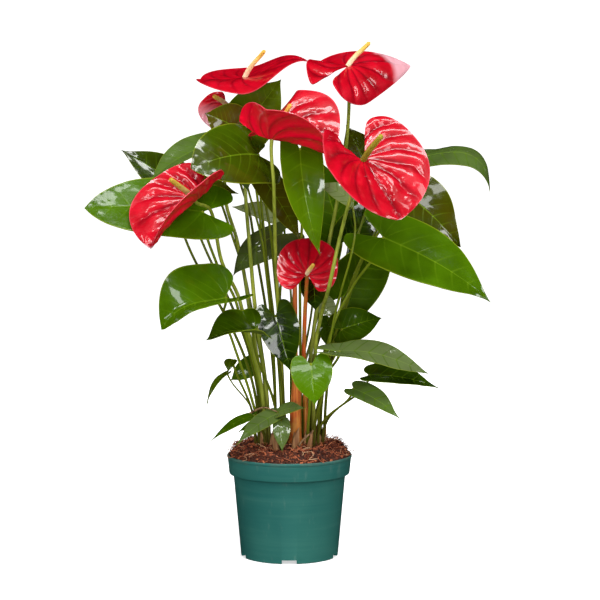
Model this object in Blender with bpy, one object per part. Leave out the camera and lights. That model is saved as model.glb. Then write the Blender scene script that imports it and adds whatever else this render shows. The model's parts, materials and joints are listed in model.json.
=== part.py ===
# Potted anthurium: red heart-shaped blooms and glossy heart-shaped leaves on long stalks, in a nursery pot.
# The pot stands on z = 0 with its axis on the Z axis, and the side shown in the photo faces -Y.
# Lengths and places are in millimetres, angles in degrees. Only the meshes themselves are in metres.
import math

import bmesh
import bpy
from mathutils import Matrix, Vector, noise
from mathutils.geometry import intersect_ray_tri

MM = 0.001
WAVES = 2.5  # ripples along a wavy edge
SKIN_GAP = 0.35  # air between pieces that rest against each other

# The pot
POT_HEIGHT = 106.0
RIM_RADIUS = 65.0
COLLAR_HEIGHT = 19.0
COLLAR_FOOT_RADIUS = 62.6
WALL_TOP_RADIUS = 58.3
BASE_RADIUS = 50.5
WALL = 1.6
FLOOR_LIFT = 4.5
FLOOR = 2.0
POT_SIDES = 40
NOTCHES = 5
NOTCH_WIDTH = 15.0
NOTCH_HEIGHT = 4.0
DRAIN_HOLE_RADIUS = 4.5
DRAIN_HOLE_CIRCLE = 34.0

# The potting mix
MIX_RIM_LEVEL = 104.0
MIX_EDGE_RISE = 8.0
MIX_MOUND = 8.0
MIX_ROUGHNESS = 5.0
MIX_RINGS = 6
MIX_SIDES = 32
STEM_SEAT = 92.0  # height of the bottom of each stem hole
STEM_FREE = 124.0  # stems rise straight up to this height

# The plant
LEAF_THICKNESS = 0.8
SPATHE_THICKNESS = 1.0
STALK_SIDES = 5
STALK_STEPS = 5
STRAIGHT_END = 2.0  # the last of a flower stalk runs straight into the spathe
FOOT_SHARE = 0.27  # how far out a stem's foot stands, as a share of how far out its top is
FOOT_SPACING = 6.2
FOOT_GAP = 2.6
CLUMP_RADIUS = 38.0


def clear_scene():
    for obj in list(bpy.data.objects):
        bpy.data.objects.remove(obj, do_unlink=True)


def material(name, colour, roughness):
    """A plain Principled material; colour is linear RGB."""
    made = bpy.data.materials.new(name)
    made.use_nodes = True
    shader = made.node_tree.nodes["Principled BSDF"]
    shader.inputs["Base Color"].default_value = (*colour, 1.0)
    shader.inputs["Roughness"].default_value = roughness
    shader.inputs["Metallic"].default_value = 0.0
    made.diffuse_color = (*colour, 1.0)
    return made


def mesh_object(name, points, faces, made_of=None):
    """An object from points in millimetres."""
    mesh = bpy.data.meshes.new(name)
    mesh.from_pydata([Vector(p) * MM for p in points], [], faces)
    mesh.update()
    if made_of is not None:
        mesh.materials.append(made_of)
    obj = bpy.data.objects.new(name, mesh)
    bpy.context.scene.collection.objects.link(obj)
    return obj


def bake(obj):
    """Applies the object's modifiers."""
    graph = bpy.context.evaluated_depsgraph_get()
    graph.update()
    obj.data = bpy.data.meshes.new_from_object(obj.evaluated_get(graph))
    obj.modifiers.clear()


def boolean(obj, others, operation, solver="EXACT"):
    """Joins or cuts the object with all the others in one Boolean, then removes them."""
    group = bpy.data.collections.new(obj.name + " tools")
    bpy.context.scene.collection.children.link(group)
    for other in others:
        group.objects.link(other)
    modifier = obj.modifiers.new(operation.lower(), "BOOLEAN")
    modifier.operation = operation
    modifier.operand_type = "COLLECTION"
    modifier.collection = group
    modifier.solver = solver
    bake(obj)
    for other in others:
        bpy.data.objects.remove(other, do_unlink=True)
    bpy.data.collections.remove(group)
    return obj


def finish(obj, sharp_angle=50.0):
    obj.data.shade_smooth()
    obj.data.set_sharp_from_angle(angle=math.radians(sharp_angle))
    return obj


# Curves and tubes


def bezier(a, b, c, d, t):
    s = 1.0 - t
    return a * s**3 + b * 3 * s * s * t + c * 3 * s * t * t + d * t**3


def hermite_path(points, first_way, last_way, steps):
    """A smooth path through the points, leaving and arriving in the two given directions."""
    points = [Vector(p) for p in points]
    ways = [Vector(first_way).normalized()]
    for before, after in zip(points, points[2:]):
        ways.append((after - before).normalized())
    ways.append(Vector(last_way).normalized())
    whole = sum((after - before).length for before, after in zip(points, points[1:]))
    path = []
    for index, (start, end) in enumerate(zip(points, points[1:])):
        span = (end - start).length
        lean_in = ways[index] * span * (0.45 if index == 0 else 0.33)
        lean_out = ways[index + 1] * span * 0.33
        share = max(2, round(steps * span / whole))
        for step in range(share):
            path.append(bezier(start, start + lean_in, end - lean_out, end, step / share))
    path.append(points[-1])
    return path


def tube(name, path, radii, sides=STALK_SIDES):
    """A closed tube along the path, with one radius for each point of it."""
    way = (path[1] - path[0]).normalized()
    across = Vector((1, 0, 0)) - way * way.x
    points, faces = [], []
    for index, centre in enumerate(path):
        ahead = path[min(index + 1, len(path) - 1)]
        behind = path[max(index - 1, 0)]
        turn = way.rotation_difference(ahead - behind)
        across.rotate(turn)
        way = (ahead - behind).normalized()
        across = (across - way * across.dot(way)).normalized()
        aside = way.cross(across)
        for side in range(sides):
            angle = 2 * math.pi * side / sides
            points.append(centre + (across * math.cos(angle) + aside * math.sin(angle)) * radii[index])
    for ring in range(len(path) - 1):
        for side in range(sides):
            near = ring * sides + side
            far = ring * sides + (side + 1) % sides
            faces.append((near, far, far + sides, near + sides))
    faces.append(tuple(reversed(range(sides))))
    faces.append(tuple(range((len(path) - 1) * sides, len(path) * sides)))
    return mesh_object(name, points, faces)


# Heart-shaped blades, for leaves and spathes alike


class Outline:
    """A heart's outline in shares of the length from its junction, at 0, to its tip, at 1."""

    def __init__(self, back, inset, widest, shoulder, taper, neck=0.10):
        self.back = back  # how far the lobes reach behind the junction
        self.inset = inset  # where each lobe is lowest, as a share of the half width
        self.widest = widest
        self.shoulder = shoulder  # how long the outline stays wide ahead of its widest place
        self.taper = taper  # where the outline turns in to the drawn-out tip
        self.neck = neck  # how wide it still is there, as a share of the half width

    def outer(self, half, t):
        """From the bottom of the lobe, at t = 0, round the side to the tip, at t = 1."""
        low = Vector((-self.back, self.inset * half))
        wide = Vector((self.widest, half))
        if t < 0.4:
            reach = Vector((-self.back, half * 0.86))
            return bezier(low, reach, wide - Vector((0.6 * (self.widest + self.back), 0)), wide, t / 0.4)
        full = wide + Vector((self.shoulder, 0))
        drawn = Vector((self.taper, self.neck * half))
        return bezier(wide, full, drawn, Vector((1, 0)), (t - 0.4) / 0.6)

    def inner(self, half, s, junction):
        """From the bottom of the lobe up the notch to the junction, then along the midrib to the tip."""
        if s >= junction:
            return Vector(((s - junction) / (1 - junction), 0))
        low = Vector((-self.back, self.inset * half))
        turn = Vector((-self.back, self.inset * half * 0.6))
        notch = Vector((-0.35 * self.back, self.inset * half * 0.4))
        return bezier(low, turn, notch, Vector((0, 0)), s / junction)


LEAF = Outline(back=0.26, inset=0.50, widest=0.14, shoulder=0.52, taper=0.84)
BLUNT_LEAF = Outline(back=0.26, inset=0.50, widest=0.20, shoulder=0.66, taper=0.96)
NARROW_LEAF = Outline(back=0.10, inset=0.45, widest=0.26, shoulder=0.38, taper=0.76)
SPATHE = Outline(back=0.44, inset=0.52, widest=0.12, shoulder=0.68, taper=0.95)
POINTED_SPATHE = Outline(back=0.44, inset=0.52, widest=0.06, shoulder=0.16, taper=0.82, neck=0.32)
LONG_SPATHE = Outline(back=0.52, inset=0.55, widest=0.14, shoulder=0.74, taper=0.97, neck=0.16)
BROAD_SPATHE = Outline(back=0.70, inset=0.19, widest=0.04, shoulder=0.60, taper=0.95)
FULL_SPATHE = Outline(back=0.54, inset=0.40, widest=0.30, shoulder=0.62, taper=1.0, neck=0.3)


class Form:
    """How a flat blade is bent. Pairs give the left side, then the right, seen from above, tip ahead."""

    def __init__(self, fold=(12, 12), curl=(0, 0), lobes=(0, 0), arch=6, skew=0.0, sway=0, twist=0, wave=0,
                 spread=(1, 1), droop=(0, 0)):
        self.fold = fold  # each side's rise from the midrib; minus falls
        self.curl = curl  # how much more the side turns by its edge; minus turns down
        self.lobes = lobes  # how much more the lobes rise
        self.arch = arch  # how high the midrib stands over the straight line from junction to tip
        self.skew = skew  # minus moves the top of the arch to the junction, plus to the tip
        self.sway = sway  # how far the midrib bows to the left
        self.twist = twist
        self.wave = wave
        self.spread = spread  # how wide each side is, as a share of half the width
        self.droop = droop  # how far each lobe hangs down at its end

    def bow(self, share):
        """How far a bowed midrib stands off its straight line, for a bow of one."""
        return 4 * share * (1 - share) if share >= 0 else 2.4 * share

    def arch_at(self, share):
        lean = 1 + self.skew * (2 * share - 1) if share >= 0 else 1 - self.skew
        return self.arch * self.bow(share) * lean


def side_section(distance, half, fold, curl, soft=7.0, steps=8):
    """Where a point of a side goes, across and up, when the side is bent about the midrib."""
    across = up = 0.0
    piece = distance / steps
    for step in range(steps):
        place = (step + 0.5) * piece
        angle = math.radians(fold * min(1.0, place / soft) + curl * place / half)
        across += math.cos(angle) * piece
        up += math.sin(angle) * piece
    return across, up


def blade_surface(junction, tip, normal, width, outline, form, rows, columns):
    """The middle surface of a blade: its points, and triangles that face its upper side."""
    junction, tip = Vector(junction), Vector(tip)
    length = (tip - junction).length
    ahead = (tip - junction).normalized()
    up = Vector(normal)
    up = (up - ahead * up.dot(ahead)).normalized()
    left = up.cross(ahead)
    half = 0.5 * width / length
    junction_row = max(2, round(rows * 0.3))

    def place(flat, side, along, out):
        share = flat.x
        behind = max(0.0, -share / outline.back)
        across, rise = side_section(
            abs(flat.y) * length * form.spread[side], half * length,
            form.fold[side] + form.lobes[side] * behind, form.curl[side]
        )
        rise -= form.droop[side] * behind ** 1.5
        rise += form.wave * out * out * math.sin(2 * math.pi * WAVES * along + 2.1 * side)
        turn = Matrix.Rotation(math.radians(form.twist * share), 3, ahead)
        sideways = left if side == 0 else -left
        midrib = junction + ahead * share * length + left * form.sway * form.bow(share)
        return midrib + turn @ (sideways * across + up * (rise + form.arch_at(share)))

    points, index, triangles = [], {}, []

    def corner(row, column, side):
        at_end = row in (0, rows)
        shared = row == rows or (row >= junction_row and column == 0)
        key = (row, 0 if at_end else column, 0 if shared else side)
        if key not in index:
            along = row / rows
            out = 0.0 if at_end else column / columns
            inside = outline.inner(half, along, junction_row / rows)
            outside = outline.outer(half, along)
            index[key] = len(points)
            points.append(place(inside.lerp(outside, out), side, along, out))
        return index[key]

    for side in (0, 1):
        for row in range(rows):
            for column in range(columns):
                a = corner(row, column, side)
                b = corner(row + 1, column, side)
                c = corner(row + 1, column + 1, side)
                d = corner(row, column + 1, side)
                for triangle in ((a, b, c), (a, c, d)):
                    if len(set(triangle)) == 3:
                        triangles.append(triangle if side == 0 else tuple(reversed(triangle)))
    return points, triangles


def seat(surface, junction, tip, normal, form, radius, thickness):
    """The way a blade faces at its junction, and how far its skins reach up and down within a radius."""
    points, triangles = surface
    line = Vector(tip) - Vector(junction)
    directions, below = 24, 50.0
    ahead = line.normalized()
    up = Vector(normal)
    up = (up - ahead * up.dot(ahead)).normalized()
    slope = (form.arch_at(0.1) - form.arch_at(-0.1)) / (0.2 * line.length)
    up = (up - ahead * slope).normalized()
    aside = up.cross(ahead).normalized()
    highest = lowest = 0.5 * thickness
    for step in range(directions):
        angle = 2 * math.pi * step / directions
        place = Vector(junction) + (ahead * math.cos(angle) + aside * math.sin(angle)) * radius
        start = place - up * below
        for triangle in triangles:
            a, b, c = (points[corner] for corner in triangle)
            hit = intersect_ray_tri(a, b, c, up, start, True)
            if hit is not None:
                slant = abs(up.dot((b - a).cross(c - a).normalized()))
                skin = 0.5 * thickness / max(0.3, slant)
                height = (hit - start).length - below
                highest = max(highest, height + skin)
                lowest = max(lowest, skin - height)
    return up, highest, lowest


def blade(name, surface, thickness):
    """A closed blade whose two faces are split into the same triangles."""
    points, triangles = surface
    obj = mesh_object(name, points, triangles)
    solid = obj.modifiers.new("thickness", "SOLIDIFY")
    solid.thickness = thickness * MM
    solid.offset = 0.0
    bake(obj)
    return obj


# The pot and its filling


def turned(name, profile, sides):
    """A body turned about the Z axis from a profile of radius and height, which runs up the axis."""
    points, faces = [], []
    rings = []
    for radius, height in profile:
        if radius == 0:
            rings.append([len(points)])
            points.append((0, 0, height))
            continue
        rings.append(list(range(len(points), len(points) + sides)))
        for side in range(sides):
            angle = 2 * math.pi * side / sides
            points.append((radius * math.cos(angle), radius * math.sin(angle), height))
    for low, high in zip(rings, rings[1:]):
        for side in range(sides):
            after = (side + 1) % sides
            corners = [low[side % len(low)], low[after % len(low)]]
            corners += [high[after % len(high)], high[side % len(high)]]
            faces.append(tuple(dict.fromkeys(corners)))
    return mesh_object(name, points, faces)


def wall_radius(height):
    """The pot's outer radius under the collar."""
    return BASE_RADIUS + (WALL_TOP_RADIUS - BASE_RADIUS) * height / (POT_HEIGHT - COLLAR_HEIGHT)


def make_pot(made_of):
    collar_foot = POT_HEIGHT - COLLAR_HEIGHT
    floor_top = FLOOR_LIFT + FLOOR
    profile = [
        (0, FLOOR_LIFT),
        (BASE_RADIUS - 5.0, FLOOR_LIFT),
        (BASE_RADIUS - 4.0, 0),
        (BASE_RADIUS - 0.8, 0),
        (BASE_RADIUS, 1.0),
        (WALL_TOP_RADIUS, collar_foot - 1.5),
        (COLLAR_FOOT_RADIUS - 0.8, collar_foot),
        (COLLAR_FOOT_RADIUS, collar_foot + 1.0),
        (RIM_RADIUS - 0.6, POT_HEIGHT - 3.0),
        (RIM_RADIUS, POT_HEIGHT - 1.6),
        (RIM_RADIUS - 0.4, POT_HEIGHT),
        (RIM_RADIUS - WALL, POT_HEIGHT),
        (COLLAR_FOOT_RADIUS - WALL - 0.4, collar_foot + 2.5),
        (WALL_TOP_RADIUS - WALL, collar_foot - 1.0),
        (wall_radius(floor_top) - WALL, floor_top),
        (0, floor_top),
    ]
    pot = turned("nursery_pot", profile, POT_SIDES)
    cutters = []
    for number in range(NOTCHES):
        angle = 2 * math.pi * number / NOTCHES - math.pi / 2
        cutters.append(box(NOTCH_WIDTH, 12.0, NOTCH_HEIGHT, wall_radius(0) - 2.0, angle))
        hole = turned("drain", [(0, 0), (DRAIN_HOLE_RADIUS, 0), (DRAIN_HOLE_RADIUS, 20), (0, 20)], 12)
        drain = angle + math.pi / NOTCHES
        for vertex in hole.data.vertices:
            vertex.co.x += DRAIN_HOLE_CIRCLE * math.cos(drain) * MM
            vertex.co.y += DRAIN_HOLE_CIRCLE * math.sin(drain) * MM
        cutters.append(hole)
    boolean(pot, cutters, "DIFFERENCE")
    pot.data.materials.clear()
    pot.data.materials.append(made_of)
    return finish(pot, 35.0)


def box(width, depth, height, distance, angle):
    """A box that stands on the ground with its middle at a distance from the axis."""
    mesh = bpy.data.meshes.new("box")
    shape = bmesh.new()
    bmesh.ops.create_cube(shape, size=1.0)
    bmesh.ops.scale(shape, vec=Vector((depth, width, 2 * height)) * MM, verts=shape.verts)
    bmesh.ops.translate(shape, vec=Vector((distance * MM, 0, 0)), verts=shape.verts)
    bmesh.ops.rotate(shape, matrix=Matrix.Rotation(angle, 3, "Z"), verts=shape.verts)
    shape.to_mesh(mesh)
    shape.free()
    obj = bpy.data.objects.new("box", mesh)
    bpy.context.scene.collection.objects.link(obj)
    return obj


def mix_height(x, y):
    """The lumpy top of the potting mix."""
    out = math.hypot(x, y) / (RIM_RADIUS - WALL)
    edge = min(1.0, (1.0 - out) * 9.0)
    lumps = noise.noise(Vector((x, y, 3.0)) * 0.085) + 0.7 * noise.noise(Vector((x, y, 9.0)) * 0.23)
    return MIX_RIM_LEVEL + MIX_EDGE_RISE * edge + MIX_MOUND * (1 - out * out) + MIX_ROUGHNESS * lumps * edge


def make_mix(made_of, feet):
    """The potting mix, with a plain hole for each stem."""
    collar_foot = POT_HEIGHT - COLLAR_HEIGHT
    bottom = FLOOR_LIFT + FLOOR + SKIN_GAP
    in_wall = WALL + SKIN_GAP + 0.15
    walls = [
        (wall_radius(bottom) - in_wall, bottom),
        (WALL_TOP_RADIUS - in_wall, collar_foot - 1.0),
        (COLLAR_FOOT_RADIUS - in_wall - 0.6, collar_foot + 2.5),
        (RIM_RADIUS - in_wall - 0.5, MIX_RIM_LEVEL),
    ]
    profile = [(0, bottom)] + walls
    reach = walls[-1][0]
    for ring in range(MIX_RINGS - 1, 0, -1):
        profile.append((reach * (ring / MIX_RINGS) ** 0.75, MIX_RIM_LEVEL + 1))
    profile.append((0, MIX_RIM_LEVEL + 1))
    mix = turned("potting_mix", profile, MIX_SIDES)
    for vertex in mix.data.vertices:
        if vertex.co.z > MIX_RIM_LEVEL * MM + 0.0001:
            vertex.co.z = mix_height(vertex.co.x / MM, vertex.co.y / MM) * MM
    holes = []
    for x, y, radius in feet:
        path = [Vector((x, y, STEM_SEAT)), Vector((x, y, STEM_FREE + 6))]
        wide = (radius + SKIN_GAP) / math.cos(math.pi / STALK_SIDES)
        holes.append(tube("hole", path, [wide, wide]))
    boolean(mix, holes, "DIFFERENCE")
    mix.data.materials.clear()
    mix.data.materials.append(made_of)
    return finish(mix, 40.0)


# The plant. Every stem is noted first, so that the feet can be spread before anything is built.

STEMS = []


class Stem:
    """One stem from the mix to a junction. A route is a list of places it passes on the way."""

    def __init__(self, top, way, radius, route=(), foot=None):
        self.top = Vector(top)
        self.way = Vector(way).normalized()
        self.radius = radius
        self.route = [Vector(place) for place in route]
        aim = Vector(foot) if foot else Vector((self.top.x, self.top.y)) * FOOT_SHARE
        if aim.length > CLUMP_RADIUS:
            aim = aim.normalized() * CLUMP_RADIUS
        self.foot = aim
        self.grows_on = None
        STEMS.append(self)

    def build(self, name, steps=STALK_STEPS, nub=0.0, sides=STALK_SIDES):
        """The stem's tube; a nub is how far it goes on past the junction."""
        foot = self.grows_on.foot if self.grows_on else self.foot
        bottom = (STEM_FREE if self.grows_on else STEM_SEAT) + SKIN_GAP
        free = Vector((foot.x, foot.y, STEM_FREE + (10 if self.grows_on else 0)))
        path = [Vector((foot.x, foot.y, bottom))]
        path += hermite_path([free] + self.route + [self.top], (0, 0, 1), self.way, steps)
        if nub:
            path.append(self.top + self.way * nub)
        else:
            path.insert(-1, self.top - self.way * STRAIGHT_END)
        radii = [self.radius * (1 - 0.22 * index / (len(path) - 1)) for index in range(len(path))]
        radii[0] = radii[1] = self.radius
        if nub:
            radii[-1] *= 0.6
        return tube(name, path, radii, sides)


def join_shoots():
    """In a shoot, every leaf after the first grows on the first leaf's stem."""
    for first, *others in SHOOTS.values():
        for leaf in others:
            leaf.stem.grows_on = first.stem
            leaf.stem.radius = 0.7 * first.stem.radius
            STEMS.remove(leaf.stem)
    SHEATHED.grows_on = SHEATH
    STEMS.remove(SHEATHED)


def spread_feet(rounds=400):
    """Pushes the feet apart until none stands closer to another than the spacing."""
    for _ in range(rounds):
        for index, one in enumerate(STEMS):
            for other in STEMS[index + 1:]:
                apart = other.foot - one.foot
                short = max(FOOT_SPACING, one.radius + other.radius + FOOT_GAP) - apart.length
                if short > 0:
                    push = (apart.normalized() if apart.length else Vector((1, 0))) * short * 0.5
                    one.foot = one.foot - push
                    other.foot = other.foot + push
        for one in STEMS:
            if one.foot.length > CLUMP_RADIUS:
                one.foot = one.foot.normalized() * CLUMP_RADIUS


class Leaf:
    """A blade and its stalk, grown as one."""

    def __init__(self, junction, tip, normal, width, outline=LEAF, form=None, stalk=1.6, way=None, route=(),
                 foot=None, fine=False):
        rows, columns = (7, 3) if fine else (6, 2) if width > 30 else (5, 2)
        self.surface = blade_surface(junction, tip, normal, width, outline, form or Form(), rows, columns)
        lean = Vector(normal).normalized() * 0.6 + Vector((0, 0, 1))
        self.stem = Stem(junction, way or lean, stalk, route, foot)


def make_leaf(name, leaf, made_of):
    obj = blade(name, leaf.surface, LEAF_THICKNESS)
    boolean(obj, [leaf.stem.build("stalk", nub=1.2)], "UNION")
    obj.data.materials.clear()
    obj.data.materials.append(made_of)
    return finish(obj)


LEAVES = {
    "leaf_left_high": Leaf((-86, -70, 361), (-203, -80, 365), (0.0, -0.75, 0.66), 76, fine=True, stalk=1.7,
                           outline=BLUNT_LEAF, form=Form(fold=(6, 6), curl=(-6, -6), arch=5), foot=(-26, -12),
                           route=[(-54, -22, 265), (-73, -34, 305)]),
    "leaf_left_hidden": Leaf((-116, -18, 381), (-51, -30, 378), (0.0, -0.4, 0.9), 50,
                             form=Form(fold=(10, 10), arch=4)),
    "leaf_left_far": Leaf((-108, 28, 380), (-176, 34, 421), (-0.35, -0.75, 0.6), 46,
                          form=Form(fold=(16, 16), arch=3)),
    "leaf_left_arching": Leaf((-85, 0, 426), (-142, -20, 390), (-0.4, -0.55, 0.75), 44,
                              form=Form(fold=(18, 18), arch=5), foot=(-24, 8),
                              route=[(-44, 12, 280), (-64, 24, 345), (-80, 14, 395)]),
    "leaf_top_left": Leaf((-31, -41, 417), (-97, -85, 404), (0.36, -0.7, 0.6), 76, fine=True,
                          outline=BLUNT_LEAF,
                          form=Form(fold=(10, 10), curl=(-14, -14), lobes=(-25, -25), arch=9),
                          route=[(-25, -21, 330), (-31, -20, 395)]),
    "leaf_top_back_left": Leaf((-55, -8, 445), (-86, -14, 459), (-0.3, -0.9, 0.3), 44,
                               form=Form(fold=(8, 8), arch=4), way=(0.05, -0.3, 1), foot=(-14, 10),
                               route=[(-40, 14, 350), (-54, 11, 400)]),
    "leaf_top_back": Leaf((-45, 4, 445), (-8, -3, 494), (0.2, -0.9, 0.4), 56, fine=True,
                          form=Form(fold=(10, 10), arch=5), way=(0.05, -0.3, 1), foot=(-8, 8),
                          route=[(-30, 19, 345), (-38, 12, 405)]),
    "leaf_hanging": Leaf((11, -58, 423), (31, -98, 319), (0.2, -0.95, 0.3), 46, fine=True,
                         form=Form(fold=(20, 20), arch=8, sway=-6), foot=(12, -17),
                         route=[(11, -18, 300), (13, -24, 350)]),
    "leaf_mid_olive": Leaf((-25, -33, 392), (11, -39, 331), (0.3, -0.9, 0.2), 32,
                           form=Form(fold=(14, 14), arch=4), route=[(-18, -26, 330)]),
    "leaf_small_hanging": Leaf((-46, -42, 407), (-41, -58, 380), (-0.1, -0.95, 0.1), 22, outline=NARROW_LEAF,
                               form=Form(fold=(12, 12), arch=3), stalk=1.4, route=[(-26, -34, 320)]),
    "leaf_pale": Leaf((-6, 40, 348), (-61, 50, 361), (-0.1, -0.5, 0.85), 36,
                      form=Form(fold=(14, 14), arch=3), stalk=1.4, foot=(2, 12), route=[(2, 26, 260)]),
    "leaf_arching": Leaf((-8, 4, 335), (-58, -6, 292), (-0.35, -0.85, 0.4), 44,
                         form=Form(fold=(-10, -10), curl=(-20, -20), arch=14), foot=(-6, 4),
                          route=[(-10, 4, 260)]),
    "leaf_low_left": Leaf((-63, -72, 275), (-126, -102, 246), (-0.2, -0.66, 0.72), 86, fine=True,
                          outline=BLUNT_LEAF, form=Form(fold=(35, 38), curl=(0, -10), arch=13, skew=0.6),
                          route=[(-38, -26, 165), (-57, -40, 226), (-66, -52, 256)], foot=(-31, -20)),
    "leaf_low_front": Leaf((-36, -80, 242), (-82, -98, 235), (-0.05, -0.4, 0.9), 62, fine=True,
                           form=Form(fold=(30, 20), lobes=(-20, 40), arch=5)),
    "leaf_dark_centre": Leaf((-14, -42, 254), (2, -62, 199), (0.05, -0.93, 0.3), 42,
                             form=Form(fold=(10, 10), arch=4), foot=(-3, -28)),
    "leaf_heart": Leaf((22, -72, 208), (26, -88, 169), (0.0, -0.92, 0.38), 42, fine=True,
                       form=Form(fold=(8, 8), curl=(-10, -10), arch=3), foot=(19, -33),
                       route=[(21, -43, 165)]),
    "leaf_right_small": Leaf((54, -10, 237), (96, 0, 248), (-0.1, -0.85, 0.5), 40,
                             form=Form(fold=(12, 12), arch=3), stalk=1.4),
    "leaf_behind_stems": Leaf((46, 20, 241), (46, 15, 210), (0.0, -0.95, 0.2), 32,
                              form=Form(fold=(10, 10), arch=3), stalk=1.4),
    "leaf_long_right": Leaf((51, -62, 220), (141, -70, 198), (0.1, -0.3, 0.95), 38, fine=True,
                            form=Form(fold=(10, 10), arch=9, twist=40),
                            route=[(33, -40, 169), (40, -50, 197)], foot=(25, -29)),
    "leaf_low_right": Leaf((81, -45, 194), (152, -60, 182), (0.1, -0.5, 0.85), 36, outline=NARROW_LEAF,
                           form=Form(fold=(16, 16), arch=5), stalk=1.3, foot=(34, -15)),
    "leaf_low_right_front": Leaf((65, -52, 181), (112, -78, 153), (0.3, -0.7, 0.65), 28, outline=NARROW_LEAF,
                                 form=Form(fold=(14, 14), arch=5), stalk=1.3, foot=(30, -24)),
    "leaf_right_big": Leaf((95, -50, 334), (201, -78, 271), (0.3, -0.75, 0.6), 80, fine=True, stalk=1.7,
                           form=Form(fold=(8, 8), curl=(-10, -10), arch=9, skew=0.2),
                           route=[(44, -28, 240), (66, -30, 285)], foot=(26, -12)),
    "leaf_right_olive": Leaf((119, 8, 378), (178, 12, 321), (0.3, -0.9, 0.3), 64, fine=True,
                             form=Form(fold=(8, 8), arch=6, wave=2), route=[(60, 16, 270), (95, 22, 345)]),
    "leaf_right_arching": Leaf((145, 38, 415), (209, 24, 378), (0.45, -0.6, 0.65), 46,
                               form=Form(fold=(-8, -8), curl=(-10, -10), arch=27, skew=0.3),
                               route=[(70, 34, 290), (118, 50, 370)]),
    "leaf_right_round": Leaf((56, 46, 266), (111, 62, 332), (0.3, -0.9, 0.2), 60,
                             form=Form(fold=(8, 8), arch=5), foot=(26, 6), route=[(44, 24, 200)]),
    "leaf_dark_back": Leaf((64, 86, 324), (103, 100, 369), (0.1, -0.9, 0.4), 46,
                           form=Form(fold=(10, 10), arch=4), foot=(12, 30), route=[(34, 62, 230)]),
    "leaf_green_back": Leaf((56, 104, 323), (30, 112, 412), (0.0, -0.95, 0.2), 60,
                            form=Form(fold=(10, 10), arch=4), foot=(6, 33), route=[(26, 64, 230)]),
    "leaf_tip_back": Leaf((88, 80, 394), (60, 95, 447), (-0.1, -0.9, 0.4), 44,
                          form=Form(fold=(10, 10), arch=4), foot=(22, 22),
                          route=[(46, 50, 240), (70, 74, 320)]),
    "leaf_pale_side": Leaf((64, -55, 371), (28, -45, 389), (0.1, -0.7, 0.7), 26, outline=NARROW_LEAF,
                           form=Form(fold=(12, 12), arch=3), stalk=1.3, foot=(30, -13),
                           route=[(44, -42, 243), (53, -64, 284), (61, -76, 314), (66, -74, 342)]),
    "leaf_under_bloom": Leaf((25, -20, 286), (27, -28, 258), (0.0, -0.92, 0.35), 28,
                             form=Form(fold=(8, 8), arch=3), stalk=1.4),
    "leaf_pale_small": Leaf((30, 24, 265), (51, 10, 245), (0.1, -0.9, 0.4), 22, outline=NARROW_LEAF,
                            form=Form(fold=(10, 10), arch=2), stalk=1.3, route=[(24, 19, 220)]),
    "leaf_back": Leaf((6, 88, 300), (16, 150, 288), (0.1, 0.45, 0.85), 50,
                      form=Form(fold=(10, 10), curl=(-10, -10), arch=6), route=[(2, 44, 220)]),
}

SHOOTS = {
    "shoot_left": [
        Leaf((-58, -40, 209), (-62, -48, 197), (-0.3, -0.9, 0.2), 13, outline=NARROW_LEAF,
             form=Form(fold=(30, 30), arch=3), stalk=1.4, foot=(-35, -15)),
        Leaf((-63, -44, 196), (-83, -58, 165), (-0.6, -0.6, 0.4), 9, outline=NARROW_LEAF,
             form=Form(fold=(20, 20), arch=6)),
    ],
    "shoot_left_back": [
        Leaf((-36, 26, 197), (-62, 30, 179), (-0.2, -0.9, 0.4), 24,
             form=Form(fold=(12, 12), arch=3), stalk=1.4, foot=(-28, 20)),
        Leaf((-30, 24, 136), (-54, 30, 124), (-0.2, -0.6, 0.8), 13, outline=NARROW_LEAF,
             form=Form(fold=(12, 12), arch=2)),
    ],
    "shoot_low_left": [
        Leaf((-36, -34, 151), (-80, -56, 127), (-0.3, -0.6, 0.8), 14, outline=NARROW_LEAF,
             form=Form(fold=(12, 12), arch=5), stalk=1.4, foot=(-28, -30)),
    ],
    "shoot_low_front": [
        Leaf((-12, -42, 154), (-54, -66, 125), (-0.3, -0.7, 0.6), 22, outline=NARROW_LEAF,
             form=Form(fold=(10, 10), arch=5), stalk=1.7, foot=(-9, -36)),
        Leaf((-8, -48, 148), (-7, -62, 117), (0.0, -0.9, 0.3), 18, outline=NARROW_LEAF,
             form=Form(fold=(10, 10), arch=3)),
        Leaf((-11, -46, 156), (17, -64, 163), (0.0, -0.7, 0.7), 18, outline=NARROW_LEAF,
             form=Form(fold=(10, 10), arch=3)),
    ],
}

# A young stalk that rises from a thick sheath in the middle of the clump
SHEATH = Stem((9, -29, 196), (0.1, -0.03, 1), 6.2, foot=(7, -27))
SHEATHED = Stem((5, -30, 304), (-0.05, 0, 1), 2.9, route=[(6, -30, 240)])


class Bloom:
    """A flower stalk, the spathe on it and the spadix that stands on the spathe."""

    def __init__(self, junction, tip, normal, width, spadix, form=None, outline=SPATHE, stalk=2.2, route=(),
                 foot=None, thick=2.6):
        form = form or Form()
        self.surface = blade_surface(junction, tip, normal, width, outline, form, 10, 3)
        self.spadix_end = Vector(spadix)
        self.thick = thick
        up, highest, _ = seat(self.surface, junction, tip, normal, form, thick, SPATHE_THICKNESS)
        self.up = up
        self.spadix_base = Vector(junction) + up * (highest + SKIN_GAP)
        _, _, lowest = seat(self.surface, junction, tip, normal, form, stalk, SPATHE_THICKNESS)
        self.stem = Stem(Vector(junction) - up * (lowest + SKIN_GAP), up, stalk, route, foot)


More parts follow.
